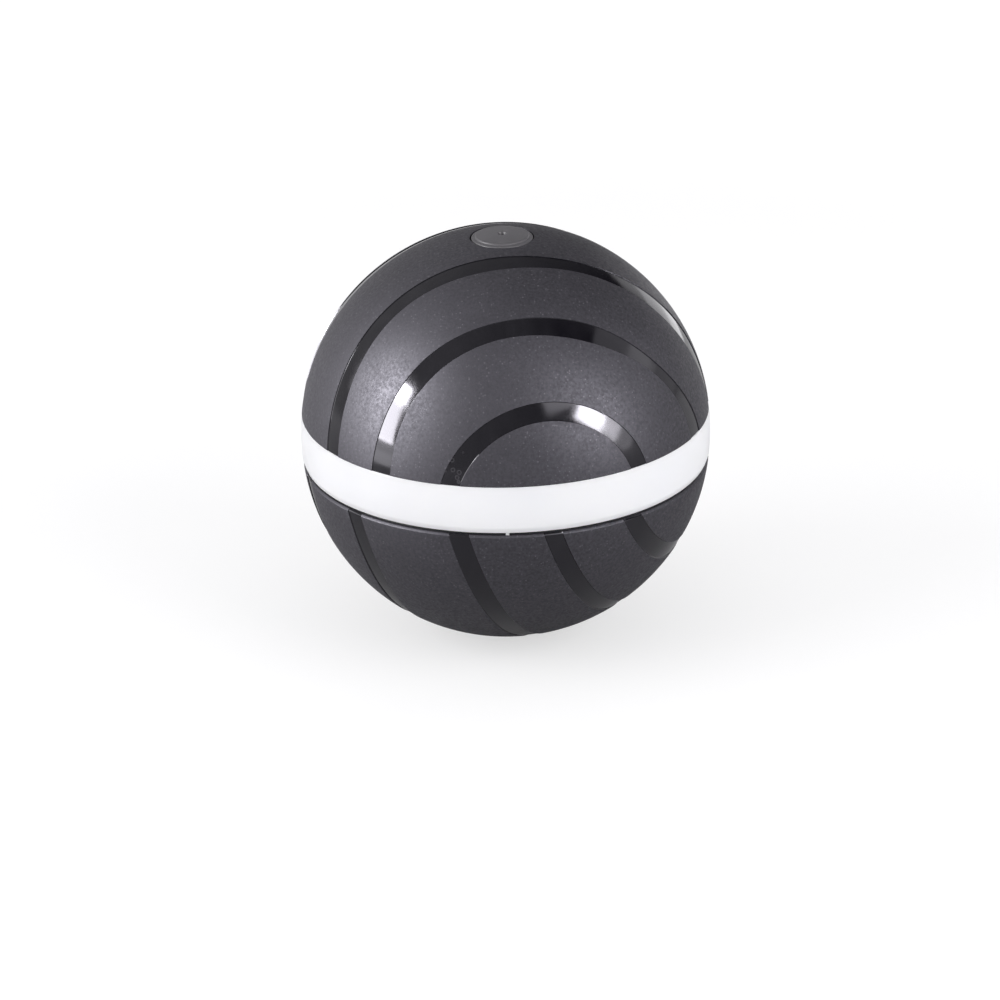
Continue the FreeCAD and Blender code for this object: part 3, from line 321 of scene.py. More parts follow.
stripeFinish = {
    "colour": (0.0060, 0.0055, 0.0075),
    "smearColour": (0.0125, 0.0118, 0.0145),
    "dropColour": (0.060, 0.058, 0.064),
    "roughness": 0.085,
    "smeared": 0.22,
    "smearScale": 70.0,
    "smearStretch": (1.0, 1.0, 0.35),
    "smearSpan": (0.42, 0.72),
    "breathScale": 260.0,
    "breathSpan": (0.3, 0.65),
    "breathLeast": 0.45,
    "spotScale": 700.0,
    "spotRing": (0.26, 0.10),  # where a spot's rim lies in its cell, and how far it spreads
    "spotShare": 0.06,
    "spotMark": 0.6,
    "patch": (-9.6 * mm, -38.0 * mm, 8.8 * mm),  # where drying drops left rings at the foot of the inner stripe
    "patchReach": (3.5 * mm, 7.0 * mm),
    "patchShare": 0.75,
    "driedMark": 0.8,
    "waviness": 0.012 * mm,
    "waveScale": 190.0,
    "hairlineScale": 900.0,
    "hairlineStretch": (6.0, 0.6, 1.0),
    "hairlineTurn": (0.3, 0.5, 0.9),
    "hairlineHeight": 0.02,
    "specular": 0.5,
    "specularTint": (0.94, 0.92, 1.0, 1.0),
}


def glossStripe():
    f = stripeFinish
    material, tree, shader = newMaterial("polishedStripePlastic")
    place = objectPlace(tree)
    streaks = noise(objectPlace(tree, f["smearStretch"]), f["smearScale"], 4.0, 0.62, 1.2)
    breath = noise(place, f["breathScale"], 3.0, 0.6)
    away = addNode(tree, "ShaderNodeVectorMath", {0: place, 1: f["patch"]}, operation="DISTANCE").outputs["Value"]
    patch = ranged(away, *f["patchReach"], 1.0, 0.0)
    distance, chance = cellNoise(place, f["spotScale"])
    rim, spread = f["spotRing"]
    edge = mathNode("ABSOLUTE", minus(distance, rim))
    least = ranged(patch, 0.0, 1.0, 1 - f["spotShare"], 1 - f["patchShare"])
    chosen = mathNode("GREATER_THAN", chance, least)
    spots = times(ranged(edge, 0.0, spread, 1.0, 0.0), chosen, True)
    smear = times(ranged(streaks, *f["smearSpan"], 0.0, 1.0),
                  ranged(breath, *f["breathSpan"], f["breathLeast"], 1.0), True)
    mark = mathNode("MAXIMUM", smear, times(spots, f["spotMark"]))
    colour = mixColour(mark, f["colour"], f["smearColour"])
    dried = times(times(spots, patch), f["driedMark"])
    scratched = objectPlace(tree, f["hairlineStretch"], f["hairlineTurn"])
    hairline = noise(scratched, f["hairlineScale"], 2.0, 0.7)
    waves = noise(place, f["waveScale"], 1.0)
    height = plus(waves, times(hairline, f["hairlineHeight"]))
    feed(tree, shader, {
        "Base Color": mixColour(dried, colour, f["dropColour"]),
        "Roughness": ranged(mark, 0.0, 1.0, f["roughness"], f["smeared"]),
        "Normal": bump(height, f["waviness"]),
        "Specular IOR Level": f["specular"],
        "Specular Tint": f["specularTint"],
    })
    return material


bandFinish = {
    "colour": (0.905, 0.91, 0.92),
    "deeper": (0.85, 0.86, 0.885),
    "deeperShare": 0.6,
    "roughness": (0.28, 0.44),
    "cloud": 45.0,
    "cloudSpan": (0.35, 0.65),
    "speck": 1400.0,
    "handled": 210.0,
    "speckHeight": 0.006 * mm,
    "subsurface": 0.45,
    "bleed": 2.2 * mm,
    "bleedTint": (1.0, 1.0, 1.05),
}


def milkyBand():
    f = bandFinish
    material, tree, shader = newMaterial("milkyBandPlastic")
    place = objectPlace(tree)
    cloud = noise(place, f["cloud"], 2.0, 0.5)
    speck = noise(place, f["speck"], 2.0, 0.6)
    handled = noise(place, f["handled"], 4.0, 0.6, 0.5)
    share = ranged(cloud, *f["cloudSpan"], 0.0, f["deeperShare"])
    feed(tree, shader, {
        "Base Color": mixColour(share, f["colour"], f["deeper"]),
        "Roughness": ranged(handled, *noiseSpan, *f["roughness"]),
        "Normal": bump(speck, f["speckHeight"]),
        "Subsurface Weight": f["subsurface"],
        "Subsurface Radius": f["bleedTint"],
        "Subsurface Scale": f["bleed"],
    })
    return material


rubber = {
    "grainHeight": 0.010 * mm,
    "sheen": 0.05,
    "wornScale": 240.0,
    "wornSpan": (0.35, 0.7),
    "wornShare": 0.7,
    "wornColour": (1.3, 0.004),  # times the colour, and what is added to it
    "polished": 0.05,
    "rougher": 0.08,
}


def rubberFinish(name, colour, roughness, grain):
    f = rubber
    material, tree, shader = newMaterial(name)
    place = objectPlace(tree)
    fine = noise(place, grain, 2.0, 0.5)
    worn = noise(place, f["wornScale"], 4.0, 0.6, 0.4)
    gain, lift = f["wornColour"]
    paler = tuple(c * gain + lift for c in colour)
    feed(tree, shader, {
        "Base Color": mixColour(ranged(worn, *f["wornSpan"], 0.0, f["wornShare"]), colour, paler),
        "Roughness": ranged(worn, *noiseSpan, roughness - f["polished"], roughness + f["rougher"]),
        "Normal": bump(fine, f["grainHeight"]),
        "Sheen Weight": f["sheen"],
    })
    return material


# Finishes of the pieces inside: name, colour, second colour, roughness, metallic, grain per metre, bump in mm
innerFinishes = {
    "housing_plastic": ("sparkErodedHousing", (0.020, 0.020, 0.023), (0.032, 0.032, 0.036), 0.48, 0.0, 1500, 0.015),
    "bearing_plastic": ("naturalBearingPlastic", (0.72, 0.70, 0.62), (0.64, 0.61, 0.52), 0.34, 0.0, 700, 0.006),
    "screw_steel": ("platedScrewSteel", (0.48, 0.49, 0.52), (0.38, 0.39, 0.42), 0.30, 1.0, 2600, 0.010),
    "pin_steel": ("groundPinSteel", (0.60, 0.61, 0.63), (0.52, 0.53, 0.55), 0.20, 1.0, 3500, 0.005),
    "motor_steel": ("drawnCanSteel", (0.52, 0.53, 0.54), (0.42, 0.43, 0.44), 0.32, 1.0, 900, 0.010),
    "magnet_ferrite": ("magnetFerrite", (0.030, 0.029, 0.030), (0.045, 0.043, 0.044), 0.62, 0.0, 2400, 0.020),
    "pinion_brass": ("turnedBrass", (0.62, 0.42, 0.14), (0.52, 0.33, 0.10), 0.26, 1.0, 2600, 0.006),
    "weight_steel": ("castWeight", (0.16, 0.165, 0.17), (0.11, 0.112, 0.118), 0.46, 0.9, 1100, 0.030),
    "pad_foam": ("openCellFoam", (0.018, 0.018, 0.019), (0.040, 0.040, 0.041), 0.90, 0.0, 2800, 0.060),
    "chip_black": ("mouldedChip", (0.012, 0.012, 0.013), (0.020, 0.020, 0.021), 0.42, 0.0, 3000, 0.008),
    "lamp_clear": ("phosphorLamp", (0.82, 0.74, 0.36), (0.90, 0.86, 0.62), 0.18, 0.0, 1200, 0.004),
    "contact_tin": ("tinnedContact", (0.62, 0.62, 0.60), (0.50, 0.50, 0.48), 0.26, 1.0, 1800, 0.006),
    "lead_red": ("leadSleeve", (0.36, 0.015, 0.012), (0.28, 0.010, 0.010), 0.36, 0.0, 1600, 0.006),
}


def innerFinish(name, colour, second, roughness, metallic, grain, height):
    material, tree, shader = newMaterial(name)
    place = objectPlace(tree)
    fine = noise(place, grain, 3.0, 0.55)
    broad = noise(place, 120.0, 3.0, 0.6, 0.4)
    share = ranged(plus(fine, broad), 0.75, 1.25, 0.0, 1.0)
    feed(tree, shader, {
        "Base Color": mixColour(share, colour, second),
        "Roughness": ranged(broad, *noiseSpan, roughness - 0.05, roughness + 0.09),
        "Normal": bump(fine, height * mm),
        "Metallic": metallic,
    })
    return material


boardFinish = {
    "mask": (0.008, 0.062, 0.026),
    "overCopper": (0.020, 0.125, 0.055),
    "tin": (0.60, 0.60, 0.56),
    "traceScale": 330.0,  # half of a trace and its gap is a period
    "traceEdge": (0.55, 0.65),
    "viaScale": 420.0,
    "viaEdge": (0.10, 0.13),
    "viaChance": (0.62, 0.64),
    "areaScale": 130.0,
    "areaEdge": (0.49, 0.51),
    "glossScale": 900.0,
    "roughness": (0.24, 0.36),
    "relief": 0.03 * mm,
}


def printedBoard():
    f = boardFinish
    material, tree, shader = newMaterial("printedBoard")
    place = objectPlace(tree)
    areas = noise(place, f["areaScale"], 0.0)
    lines = []
    for turn in (math.pi / 4, -math.pi / 4):
        turned = objectPlace(tree, turn=(0, 0, turn))
        wave = addNode(tree, "ShaderNodeTexWave", {"Vector": turned, "Scale": f["traceScale"]})
        lines.append(ranged(wave.outputs["Fac"], *f["traceEdge"], 0.0, 1.0))
    pick = ranged(areas, *f["areaEdge"], 0.0, 1.0)
    crossing = times(lines[1], minus(1.0, pick))
    traces = plus(times(lines[0], pick), crossing, True)
    distance, chance = cellNoise(place, f["viaScale"])
    drilled = ranged(chance, *f["viaChance"], 0.0, 1.0)
    via = times(ranged(distance, *f["viaEdge"], 1.0, 0.0), drilled)
    colour = mixColour(traces, f["mask"], f["overCopper"])
    feed(tree, shader, {
        "Base Color": mixColour(via, colour, f["tin"]),
        "Metallic": via,
        "Roughness": ranged(noise(place, f["glossScale"]), *noiseSpan, *f["roughness"]),
        "Normal": bump(plus(traces, via), f["relief"]),
    })
    return material


windingFinish = {
    # the gap colour is painted shade: darker copper laid in the grooves between the turns of wire
    "gap": (0.16, 0.040, 0.012),
    "wire": (0.48, 0.17, 0.05),
    "wireScale": 900.0,
    "distortion": 0.6,
    "roughness": (0.45, 0.28),
    "relief": 0.08 * mm,
    "metallic": 0.6,
}


def woundArmature():
    f = windingFinish
    material, tree, shader = newMaterial("enamelledWinding")
    wave = addNode(tree, "ShaderNodeTexWave", {
        "Vector": objectPlace(tree), "Scale": f["wireScale"], "Distortion": f["distortion"],
    }, bands_direction="Z")
    wire = wave.outputs["Fac"]
    feed(tree, shader, {
        # painted shade: the colour darkens towards the gap colour in the valleys between the turns
        "Base Color": mixColour(wire, f["gap"], f["wire"]),
        "Roughness": ranged(wire, 0.0, 1.0, *f["roughness"]),
        "Normal": bump(wire, f["relief"]),
        "Metallic": f["metallic"],
    })
    return material


foilFinish = {
    "colour": (0.47, 0.48, 0.50),
    # the fold colour is a painted highlight: paler foil along the raised creases, where they catch light
    "fold": (0.56, 0.57, 0.59),
    "stretch": (1.0, 1.6, 1.0),
    "creaseScale": 95.0,
    "creaseReach": 0.07,
    "embossScale": 2600.0,
    "embossHeight": 0.12,
    "roughness": (0.24, 0.36),
    "relief": 0.06 * mm,
    "metallic": 0.9,
}


def wrinkledFoil():
    f = foilFinish
    material, tree, shader = newMaterial("wrinkledPouchFoil")
    place = objectPlace(tree, f["stretch"])
    rumple = noise(place, f["creaseScale"], 3.0, 0.55, 0.8)
    creases = mathNode("ABSOLUTE", minus(rumple, 0.5))
    fold = ranged(creases, 0.0, f["creaseReach"], 1.0, 0.0)
    emboss = noise(place, f["embossScale"], 1.0)
    height = plus(fold, times(emboss, f["embossHeight"]))
    feed(tree, shader, {
        # painted highlight: the colour turns paler along the crease ridges, which the bump also raises
        "Base Color": mixColour(fold, f["colour"], f["fold"]),
        "Roughness": ranged(emboss, *noiseSpan, *f["roughness"]),
        "Normal": bump(height, f["relief"]),
        "Metallic": f["metallic"],
    })
    return material


finishes = {slot: innerFinish(*values) for slot, values in innerFinishes.items()}
finishes["shell_plastic"] = mattShell()
finishes["stripe"] = glossStripe()
finishes["band_plastic"] = milkyBand()
finishes["soft_grey"] = rubberFinish("softGreySilicone", (0.070, 0.067, 0.073), 0.46, 2200)
finishes["seal_rubber"] = rubberFinish("blackSealRubber", (0.012, 0.012, 0.013), 0.62, 1800)
finishes["board_green"] = printedBoard()
finishes["armature_iron"] = woundArmature()
finishes["battery_foil"] = wrinkledFoil()

for row in frame["record"]["subparts"]:
    node = frame["nodes"][row["node"]]
    node.data.materials.clear()
    node.data.materials.append(finishes[row["material_slot"]])
print("finishes made:", len(finishes))


# Geometry Nodes: a tree takes its sizes as named inputs and leaves one plain mesh

def newTree(name, sizes):
    kinds = {int: "NodeSocketInt", float: "NodeSocketFloat", tuple: "NodeSocketVector"}
    tree = bpy.data.node_groups.new(name, "GeometryNodeTree")
    tree.interface.new_socket("Geometry", in_out="INPUT", socket_type="NodeSocketGeometry")
    tree.interface.new_socket("Geometry", in_out="OUTPUT", socket_type="NodeSocketGeometry")
    for label, value in sizes.items():
        tree.interface.new_socket(label, in_out="INPUT", socket_type=kinds[type(value)]).default_value = value
    tree.interface.new_socket("Finish", in_out="INPUT", socket_type="NodeSocketMaterial")
    given = tree.nodes.new("NodeGroupInput").outputs
    return tree, given


def finishTree(tree, given, geometry):
    whole = addNode(tree, "GeometryNodeRealizeInstances", {"Geometry": geometry}).outputs[0]
    finished = addNode(tree, "GeometryNodeSetMaterial", {"Geometry": whole, "Material": given["Finish"]}).outputs[0]
    result = tree.nodes.new("NodeGroupOutput")
    tree.links.new(finished, result.inputs[0])


def madeBy(tree, name, base, sizes, finish, sharpAngle=32):
    # runs a tree on a base mesh and keeps the result as a plain mesh
    piece = newObject(name, base, [])
    modifier = piece.modifiers.new(tree.name, "NODES")
    modifier.node_group = tree
    for socket in tree.interface.items_tree:
        if socket.in_out == "INPUT" and socket.name in sizes:
            modifier[socket.identifier] = sizes[socket.name]
        if socket.in_out == "INPUT" and socket.name == "Finish":
            modifier[socket.identifier] = finish
    graph = bpy.context.evaluated_depsgraph_get()
    mesh = bpy.data.meshes.new_from_object(piece.evaluated_get(graph))
    piece.modifiers.remove(modifier)
    piece.data = mesh
    bpy.data.meshes.remove(base)
    mesh.name = name
    bm = bmesh.new()
    bm.from_mesh(mesh)
    bmesh.ops.recalc_face_normals(bm, faces=bm.faces)
    bm.to_mesh(mesh)
    bm.free()
    smooth(mesh).set_sharp_from_angle(angle=math.radians(sharpAngle))
    return piece


def turnedCopies(tree, geometry, count, first):
    # copies of a geometry, spread evenly round Z
    line = addNode(tree, "GeometryNodeMeshLine", {"Count": count, "Offset": (0, 0, 0)}, mode="OFFSET").outputs["Mesh"]
    index = addNode(tree, "GeometryNodeInputIndex").outputs[0]
    turn = mathNode("DIVIDE", times(index, 2 * math.pi), count)
    turn = plus(turn, first)
    rotation = addNode(tree, "ShaderNodeCombineXYZ", {"Z": turn}).outputs[0]
    return addNode(tree, "GeometryNodeInstanceOnPoints", {
        "Points": line, "Instance": geometry, "Rotation": rotation,
    }).outputs[0]


def placeParts(tree):
    place = addNode(tree, "GeometryNodeInputPosition").outputs[0]
    return addNode(tree, "ShaderNodeSeparateXYZ", {0: place}).outputs


# Caps: the outside is a fine grid, cut along both edges of every stripe, and sunk between them

stripes = {
    "depth": 0.15 * mm,
    "wall": 0.10 * mm,  # how wide a stripe's sloping side is
    # a ring's axis azimuth and elevation, then its outer and inner edge in degrees off the axis: a mean,
    # and how far the edge swells once, twice and more often in a turn
    "upperRings": [
        (-78.2, -2.9, (31.3,), (26.2,)),
        (-76.0, -1.0, (54.17, -1.02, 0.61, 1.77, 0.39, 0.47, 0.24), (48.93, -0.46, 0.39, 1.54, -0.31, -0.07, -0.11)),
        (-79.0, 4.0, (74.24, 3.26, 1.37, 1.97, -0.43, -0.23, -0.11), (68.61, 2.77, 0.95, 2.04, -0.19, 0.33, 0.32)),
    ],
    "upperTurns": (0, 180),
    "lowerRings": [
        (-15.4, 13.5, (45.2,), (39.8,)),
        (-15.4, 13.5, (67.2,), (62.4,)),
        (-15.4, 13.5, (92.5,), (87.0,)),
        (-15.4, 13.5, (125.4,), (120.2,)),
        (-15.4, 13.5, (153.0,), (147.8,)),
    ],
}

caps = {
    "upper": {
        "rim": ball["bandTop"], "side": 1, "rimEase": 0.14 * mm, "rimChamfer": 0.0,
        "recessFloor": 38.1 * mm, "holeRadius": 2.3 * mm, "webInside": 36.5 * mm,
    },
    "lower": {
        "rim": -ball["lowerRim"], "side": -1, "rimEase": 0.10 * mm, "rimChamfer": 0.4 * mm,
        "recessFloor": 37.9 * mm, "holeRadius": 4.9 * mm, "webInside": 36.9 * mm,
    },
    "recessRadius": 6.2 * mm,
    "innerRadius": 37.6 * mm,
    "rebateRadius": 37.99 * mm,
    "rebateEnd": 8.6 * mm,
    "beadGroove": (38.34 * mm, 7.2 * mm, 8.4 * mm),  # radius and its two heights
    "register": (8.55 * mm, 9.85 * mm, 32.9 * mm),  # ring that centres the hub: radii and its end
    "mouthEase": 0.18 * mm,
    "floorEase": 0.25 * mm,
    "arcSteps": 66,
    "innerSteps": 30,
    "notchRadius": 1.6 * mm,
    "notchFloor": 38.7 * mm,
    "notchEase": 0.3 * mm,
    "notchSteps": 48,
}


onSphere, onSlope = 1, 3  # the kinds of face: on the sphere or a stripe's floor, and on a stripe's side


def ringStripe(azimuth, elevation, outer, inner, centre):
    # gives how far a point lies inside the stripe, along the surface
    a, e = math.radians(azimuth), math.radians(elevation)
    axis = polarPlace(azimuth, elevation)
    across = Vector((-math.sin(a), math.cos(a), 0))
    along = Vector((math.sin(e) * math.cos(a), math.sin(e) * math.sin(a), -math.cos(e)))

    def opening(waves, turn):
        return math.radians(sum(wave * math.cos(order * turn) for order, wave in enumerate(waves)))

    def inside(point):
        local = point - centre
        turn = math.atan2(-local.dot(along), local.dot(across))
        angle = axis.angle(local)
        return min(angle - opening(inner, turn), opening(outer, turn) - angle) * ball["radius"]

    return inside


def capProfile(cap):
    # rows from the rim over the outside to the pole's recess, through the web and back down the inside
    radius = ball["radius"]
    rimAngle = math.asin((cap["rim"] - capShift) / radius)
    mouthAngle = math.acos(caps["recessRadius"] / radius)
    start = rimAngle + (cap["rimChamfer"] or cap["rimEase"]) / radius
    end = mouthAngle - caps["mouthEase"] / radius
    outside = arcPoints(start, end, radius, capShift, caps["arcSteps"])
    rimCorner = spherePoint(rimAngle, radius, capShift)
    if cap["rimChamfer"]:
        foot = (rimCorner[0] - cap["rimChamfer"], cap["rim"])
        edge = eased((foot[0] - mm, foot[1]), foot, outside[0], cap["rimEase"], 3)
        edge += eased(foot, outside[0], outside[2], cap["rimEase"], 3)
        outside = outside[1:]
    else:
        edge = eased((rimCorner[0] - mm, cap["rim"]), rimCorner, outside[1], cap["rimEase"], 5)[:-1]
    mouthCorner = spherePoint(mouthAngle, radius, capShift)
    wallFoot = (caps["recessRadius"], cap["recessFloor"])
    mouth = eased(outside[-2], mouthCorner, wallFoot, caps["mouthEase"], 5)[1:]
    webAngle = math.asin((cap["webInside"] - capShift) / caps["innerRadius"])
    footAngle = math.asin((caps["rebateEnd"] - capShift) / caps["innerRadius"])
    hole, inside, end = cap["holeRadius"], cap["webInside"], caps["rebateEnd"]
    bore, wall, low = caps["register"]
    groove, grooveLow, grooveHigh = caps["beadGroove"]
    rebate = caps["rebateRadius"]
    rest = eased(mouth[-1], wallFoot, (hole, cap["recessFloor"]), caps["floorEase"])
    rest += [(hole, cap["recessFloor"]), (hole, inside), (bore, inside), (bore, low), (wall, low), (wall, inside)]
    rest += arcPoints(webAngle, footAngle, caps["innerRadius"], capShift, caps["innerSteps"])
    rest += [(rebate, end), (rebate, grooveHigh), (groove, grooveHigh), (groove, grooveLow), (rebate, grooveLow)]
    rest.append((rebate, cap["rim"]))
    profile = edge + outside + mouth + rest
    skinRows = (0, len(edge) + len(outside) + len(mouth) - 1)
    sphereRows = (len(edge), len(edge) + len(outside) - 1)
    return [(r, z * cap["side"]) for r, z in profile], skinRows, sphereRows


def capMesh(name, cap, centre, inside):
    profile, skinRows, sphereRows = capProfile(cap)
    bm = bmesh.new()
    kind = bm.faces.layers.int.new("kind")
    faceRows = turnedMesh(bm, profile, ball["turnSteps"])
    for row in faceRows[sphereRows[0]:sphereRows[1]]:
        for face in row:
            face[kind] = onSphere
    skin = {face for row in faceRows[skinRows[0]:skinRows[1]] for face in row}
    half = stripes["wall"] / 2
    for stripe in inside:
        for level in (-half, half):
            skin = cutAlong(skin, stripe, level)
    for face in skin:
        middle = face.calc_center_median()
        depth = max(stripe(middle) for stripe in inside)
        if depth > -half:
            face.material_index = 1
            if face[kind] == onSphere and abs(depth) < half:
                face[kind] = onSlope
    for vert in {vert for face in skin for vert in face.verts}:
        share = min(max((max(stripe(vert.co) for stripe in inside) + half) / stripes["wall"], 0.0), 1.0)
        out = vert.co - centre
        vert.co = centre + out * (1 - share * stripes["depth"] / out.length)
    bmesh.ops.recalc_face_normals(bm, faces=bm.faces)
    mesh = meshFrom(bm, name)
    mesh.materials.append(finishes["shell_plastic"])
    mesh.materials.append(finishes["stripe"])
    print(name, "cut along its stripes:", len(mesh.polygons), "faces")
    return mesh


def notched(mesh):
    # bites the fingernail notch out of the lower cap's recess
    bm = bmesh.new()
    r = caps["notchRadius"]
    high, low = -caps["notchFloor"], -ball["pole"] - mm
    ease = caps["notchEase"]
    cut = 0.3 * ease  # takes the corner of the floor to about a quarter round
    profile = [(0, high), (r - ease, high), (r - cut, high - cut), (r, high - ease), (r, low), (0, low)]
    turnedMesh(bm, profile, caps["notchSteps"], closed=False, centre=(caps["recessRadius"], 0))
    bmesh.ops.recalc_face_normals(bm, faces=bm.faces)
    cutter = newObject("notchCutter", meshFrom(bm, "notchCutter"), [finishes["shell_plastic"]])
    blank = newObject("notchedCap", mesh, [])
    modifier = blank.modifiers.new("notch", "BOOLEAN")
    modifier.operation, modifier.solver, modifier.object = "DIFFERENCE", "EXACT", cutter
    graph = bpy.context.evaluated_depsgraph_get()
    bitten = bpy.data.meshes.new_from_object(blank.evaluated_get(graph))
    bpy.data.objects.remove(blank)
    bpy.data.objects.remove(cutter)
    return smooth(bitten)


def sphereNormals(mesh, centre, sharpAngle=32):
    # the outside takes the sphere's own normals, so the cuts along the stripes never show as dents
    mesh.set_sharp_from_angle(angle=math.radians(sharpAngle))
    normals = [corner.vector.copy() for corner in mesh.corner_normals]
    kinds = mesh.attributes["kind"].data
    for polygon in mesh.polygons:
        kind = kinds[polygon.index].value
        for corner in polygon.loop_indices:
            if kind == onSphere:
                place = mesh.vertices[mesh.loops[corner].vertex_index].co
                normals[corner] = (place - centre).normalized()
            elif kind == onSlope:
                normals[corner] = polygon.normal.copy()
    mesh.normals_split_custom_set(normals)
    mesh.attributes.remove(mesh.attributes["kind"])


def buildCap(name, cap, rings):
    centre = Vector((0, 0, capShift * caps[cap]["side"]))
    mesh = capMesh(name, caps[cap], centre, [ringStripe(*ring, centre) for ring in rings])
    if cap == "lower":
        mesh = notched(mesh)
    sphereNormals(mesh, centre)
    piece = newObject(name, mesh, [])
    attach(piece, "shell")
    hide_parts(cap + "_shell")


upperRings = []
for turn in stripes["upperTurns"]:
    upperRings += [(azimuth + turn, *ring) for azimuth, *ring in stripes["upperRings"]]
buildCap("upperCap", "upper", upperRings)
buildCap("lowerCap", "lower", stripes["lowerRings"])


# Posts inside each cap that the hub is screwed to, with the rib that ties each to the register ring

posts = {
    "circle": 17.982 * mm,
    "radius": 2.6 * mm,
    "foot": 31.0 * mm,
    "footEase": 0.15 * mm,
    "holeRadius": 1.0 * mm,
    "holeEnd": 33.9 * mm,
    "ribWidth": 1.4 * mm,
    "ribFoot": 33.34 * mm,
    "ribStart": 9.2 * mm,
    "top": 35.5 * mm,  # before the tops rise to the wall
    "topMargin": 0.1 * mm,
    "count": 3,
    "firstTurn": math.radians(30),
    "bury": 0.8 * mm,  # how far they reach into the wall
    "steps": 40,
    "ribSteps": 10,
}


def postBase():
    # one post with its screw hole, and one rib, drawn at azimuth 0
    p = posts
    bm = bmesh.new()
    foot = eased((p["holeRadius"], p["foot"]), (p["radius"], p["foot"]), (p["radius"], p["top"]), p["footEase"], 3)
    profile = [(0, p["holeEnd"]), (p["holeRadius"], p["holeEnd"]), (p["holeRadius"], p["foot"])]
    profile += foot + [(p["radius"], p["top"]), (0, p["top"])]
    turnedMesh(bm, profile, p["steps"], closed=False, centre=(p["circle"], 0))
    sections = []
    half = p["ribWidth"] / 2
    for i in range(p["ribSteps"] + 1):
        x = p["ribStart"] + (p["circle"] - p["ribStart"]) * i / p["ribSteps"]
        corners = ((-half, p["ribFoot"]), (half, p["ribFoot"]), (half, p["top"]), (-half, p["top"]))
        sections.append([bm.verts.new((x, y, z)) for y, z in corners])
    for near, far in zip(sections, sections[1:]):
        for k in range(4):
            bm.faces.new((near[k], near[(k + 1) % 4], far[(k + 1) % 4], far[k]))
    bm.faces.new(sections[0])
    bm.faces.new(list(reversed(sections[-1])))
    return meshFrom(bm, "postBase")


def postTree():
    tree, given = newTree("postsRoundTheHub", {
        "Count": 3, "First Turn": 0.0, "Wall Radius": 38.0 * mm, "Wall Centre": 0.0, "Rise From": 35.0 * mm,
        "Flip": (0.0, 0.0, 0.0),
    })
    x, y, z = placeParts(tree)
    spread = plus(times(x, x), times(y, y))
    reach = minus(times(given["Wall Radius"], given["Wall Radius"]), spread)
    wall = plus(mathNode("SQRT", reach), given["Wall Centre"])
    high = addNode(tree, "FunctionNodeCompare", {0: z, 1: given["Rise From"]}, operation="GREATER_THAN").outputs[0]
    risen = addNode(tree, "GeometryNodeSetPosition", {
        "Geometry": given["Geometry"],
        "Selection": high,
        "Position": addNode(tree, "ShaderNodeCombineXYZ", {0: x, 1: y, 2: wall}).outputs[0],
    }).outputs[0]
    copies = turnedCopies(tree, risen, given["Count"], given["First Turn"])
    flipped = addNode(tree, "GeometryNodeTransform", {"Geometry": copies, "Rotation": given["Flip"]}).outputs[0]
    finishTree(tree, given, flipped)
    return tree


def buildPosts():
    tree = postTree()
    for name, flip in (("upperHubPosts", 0.0), ("lowerHubPosts", math.pi)):
        piece = madeBy(tree, name, postBase(), {
            "Count": posts["count"], "First Turn": posts["firstTurn"], "Flip": (flip, 0.0, 0.0),
            "Wall Radius": caps["innerRadius"] + posts["bury"], "Wall Centre": capShift,
            "Rise From": posts["top"] - posts["topMargin"],
        }, finishes["shell_plastic"])
        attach(piece, "shell")


buildPosts()
print("caps and their posts made")


# Milky band between the caps: a profile turned by Geometry Nodes, with its key tabs

band = {
    "edgeEase": 0.10 * mm,
    "chamferHeight": 1.0 * mm,
    "chamferDepth": 0.25 * mm,
    "chamferEase": 0.12 * mm,
    "spigotRadius": 37.89 * mm,
    "spigotBore": 36.39 * mm,
    "spigotEnd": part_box("light_ring")[1].z,
    "sealGroove": (5.9 * mm, 6.9 * mm, 0.8 * mm),  # from, to and depth
    "bead": (7.3 * mm, 7.55 * mm, 7.8 * mm, 8.05 * mm, 0.25 * mm),  # heights and how far it stands out
    "crownSteps": 12,
    "tabCount": 4,
    "tabWidth": 0.7 * mm,
    "tabDepth": 0.5 * mm,
    "tabRoot": 0.1 * mm,
    "tabSetback": 0.35 * mm,
}


def bandProfile():
    top, bottom, radius = ball["bandTop"], ball["bandBottom"], ball["radius"]
    edgeRadius = math.sqrt(radius ** 2 - (top - capShift) ** 2)
    chamferTop = bottom + band["chamferHeight"]
    outside = []
    for i in range(band["crownSteps"] + 1):
        z = top + (chamferTop - top) * i / band["crownSteps"]
        outside.append((radius - (radius - edgeRadius) * (z / top) ** 2, z))
    foot = (edgeRadius - band["chamferDepth"], bottom)
    crownLow = (math.sqrt(radius ** 2 - (-chamferTop - capShift) ** 2), chamferTop)
    profile = eased((edgeRadius - mm, top), outside[0], outside[1], band["edgeEase"])
    profile += outside[1:-1]
    profile += eased(outside[-2], crownLow, foot, band["chamferEase"])
    profile += eased(crownLow, foot, (foot[0] - mm, bottom), band["edgeEase"])
    r, end = band["spigotRadius"], band["spigotEnd"]
    sealLow, sealHigh, sealDepth = band["sealGroove"]
    beadLow, beadRise, beadFall, beadHigh, beadOut = band["bead"]
    side = [(r, top), (r, sealLow), (r - sealDepth, sealLow), (r - sealDepth, sealHigh), (r, sealHigh),
            (r, beadLow), (r + beadOut, beadRise), (r + beadOut, beadFall), (r, beadHigh), (r, end),
            (band["spigotBore"], end)]
    profile += [(x, -z) for x, z in side] + side[::-1]
    return profile, foot[0] - band["tabSetback"]


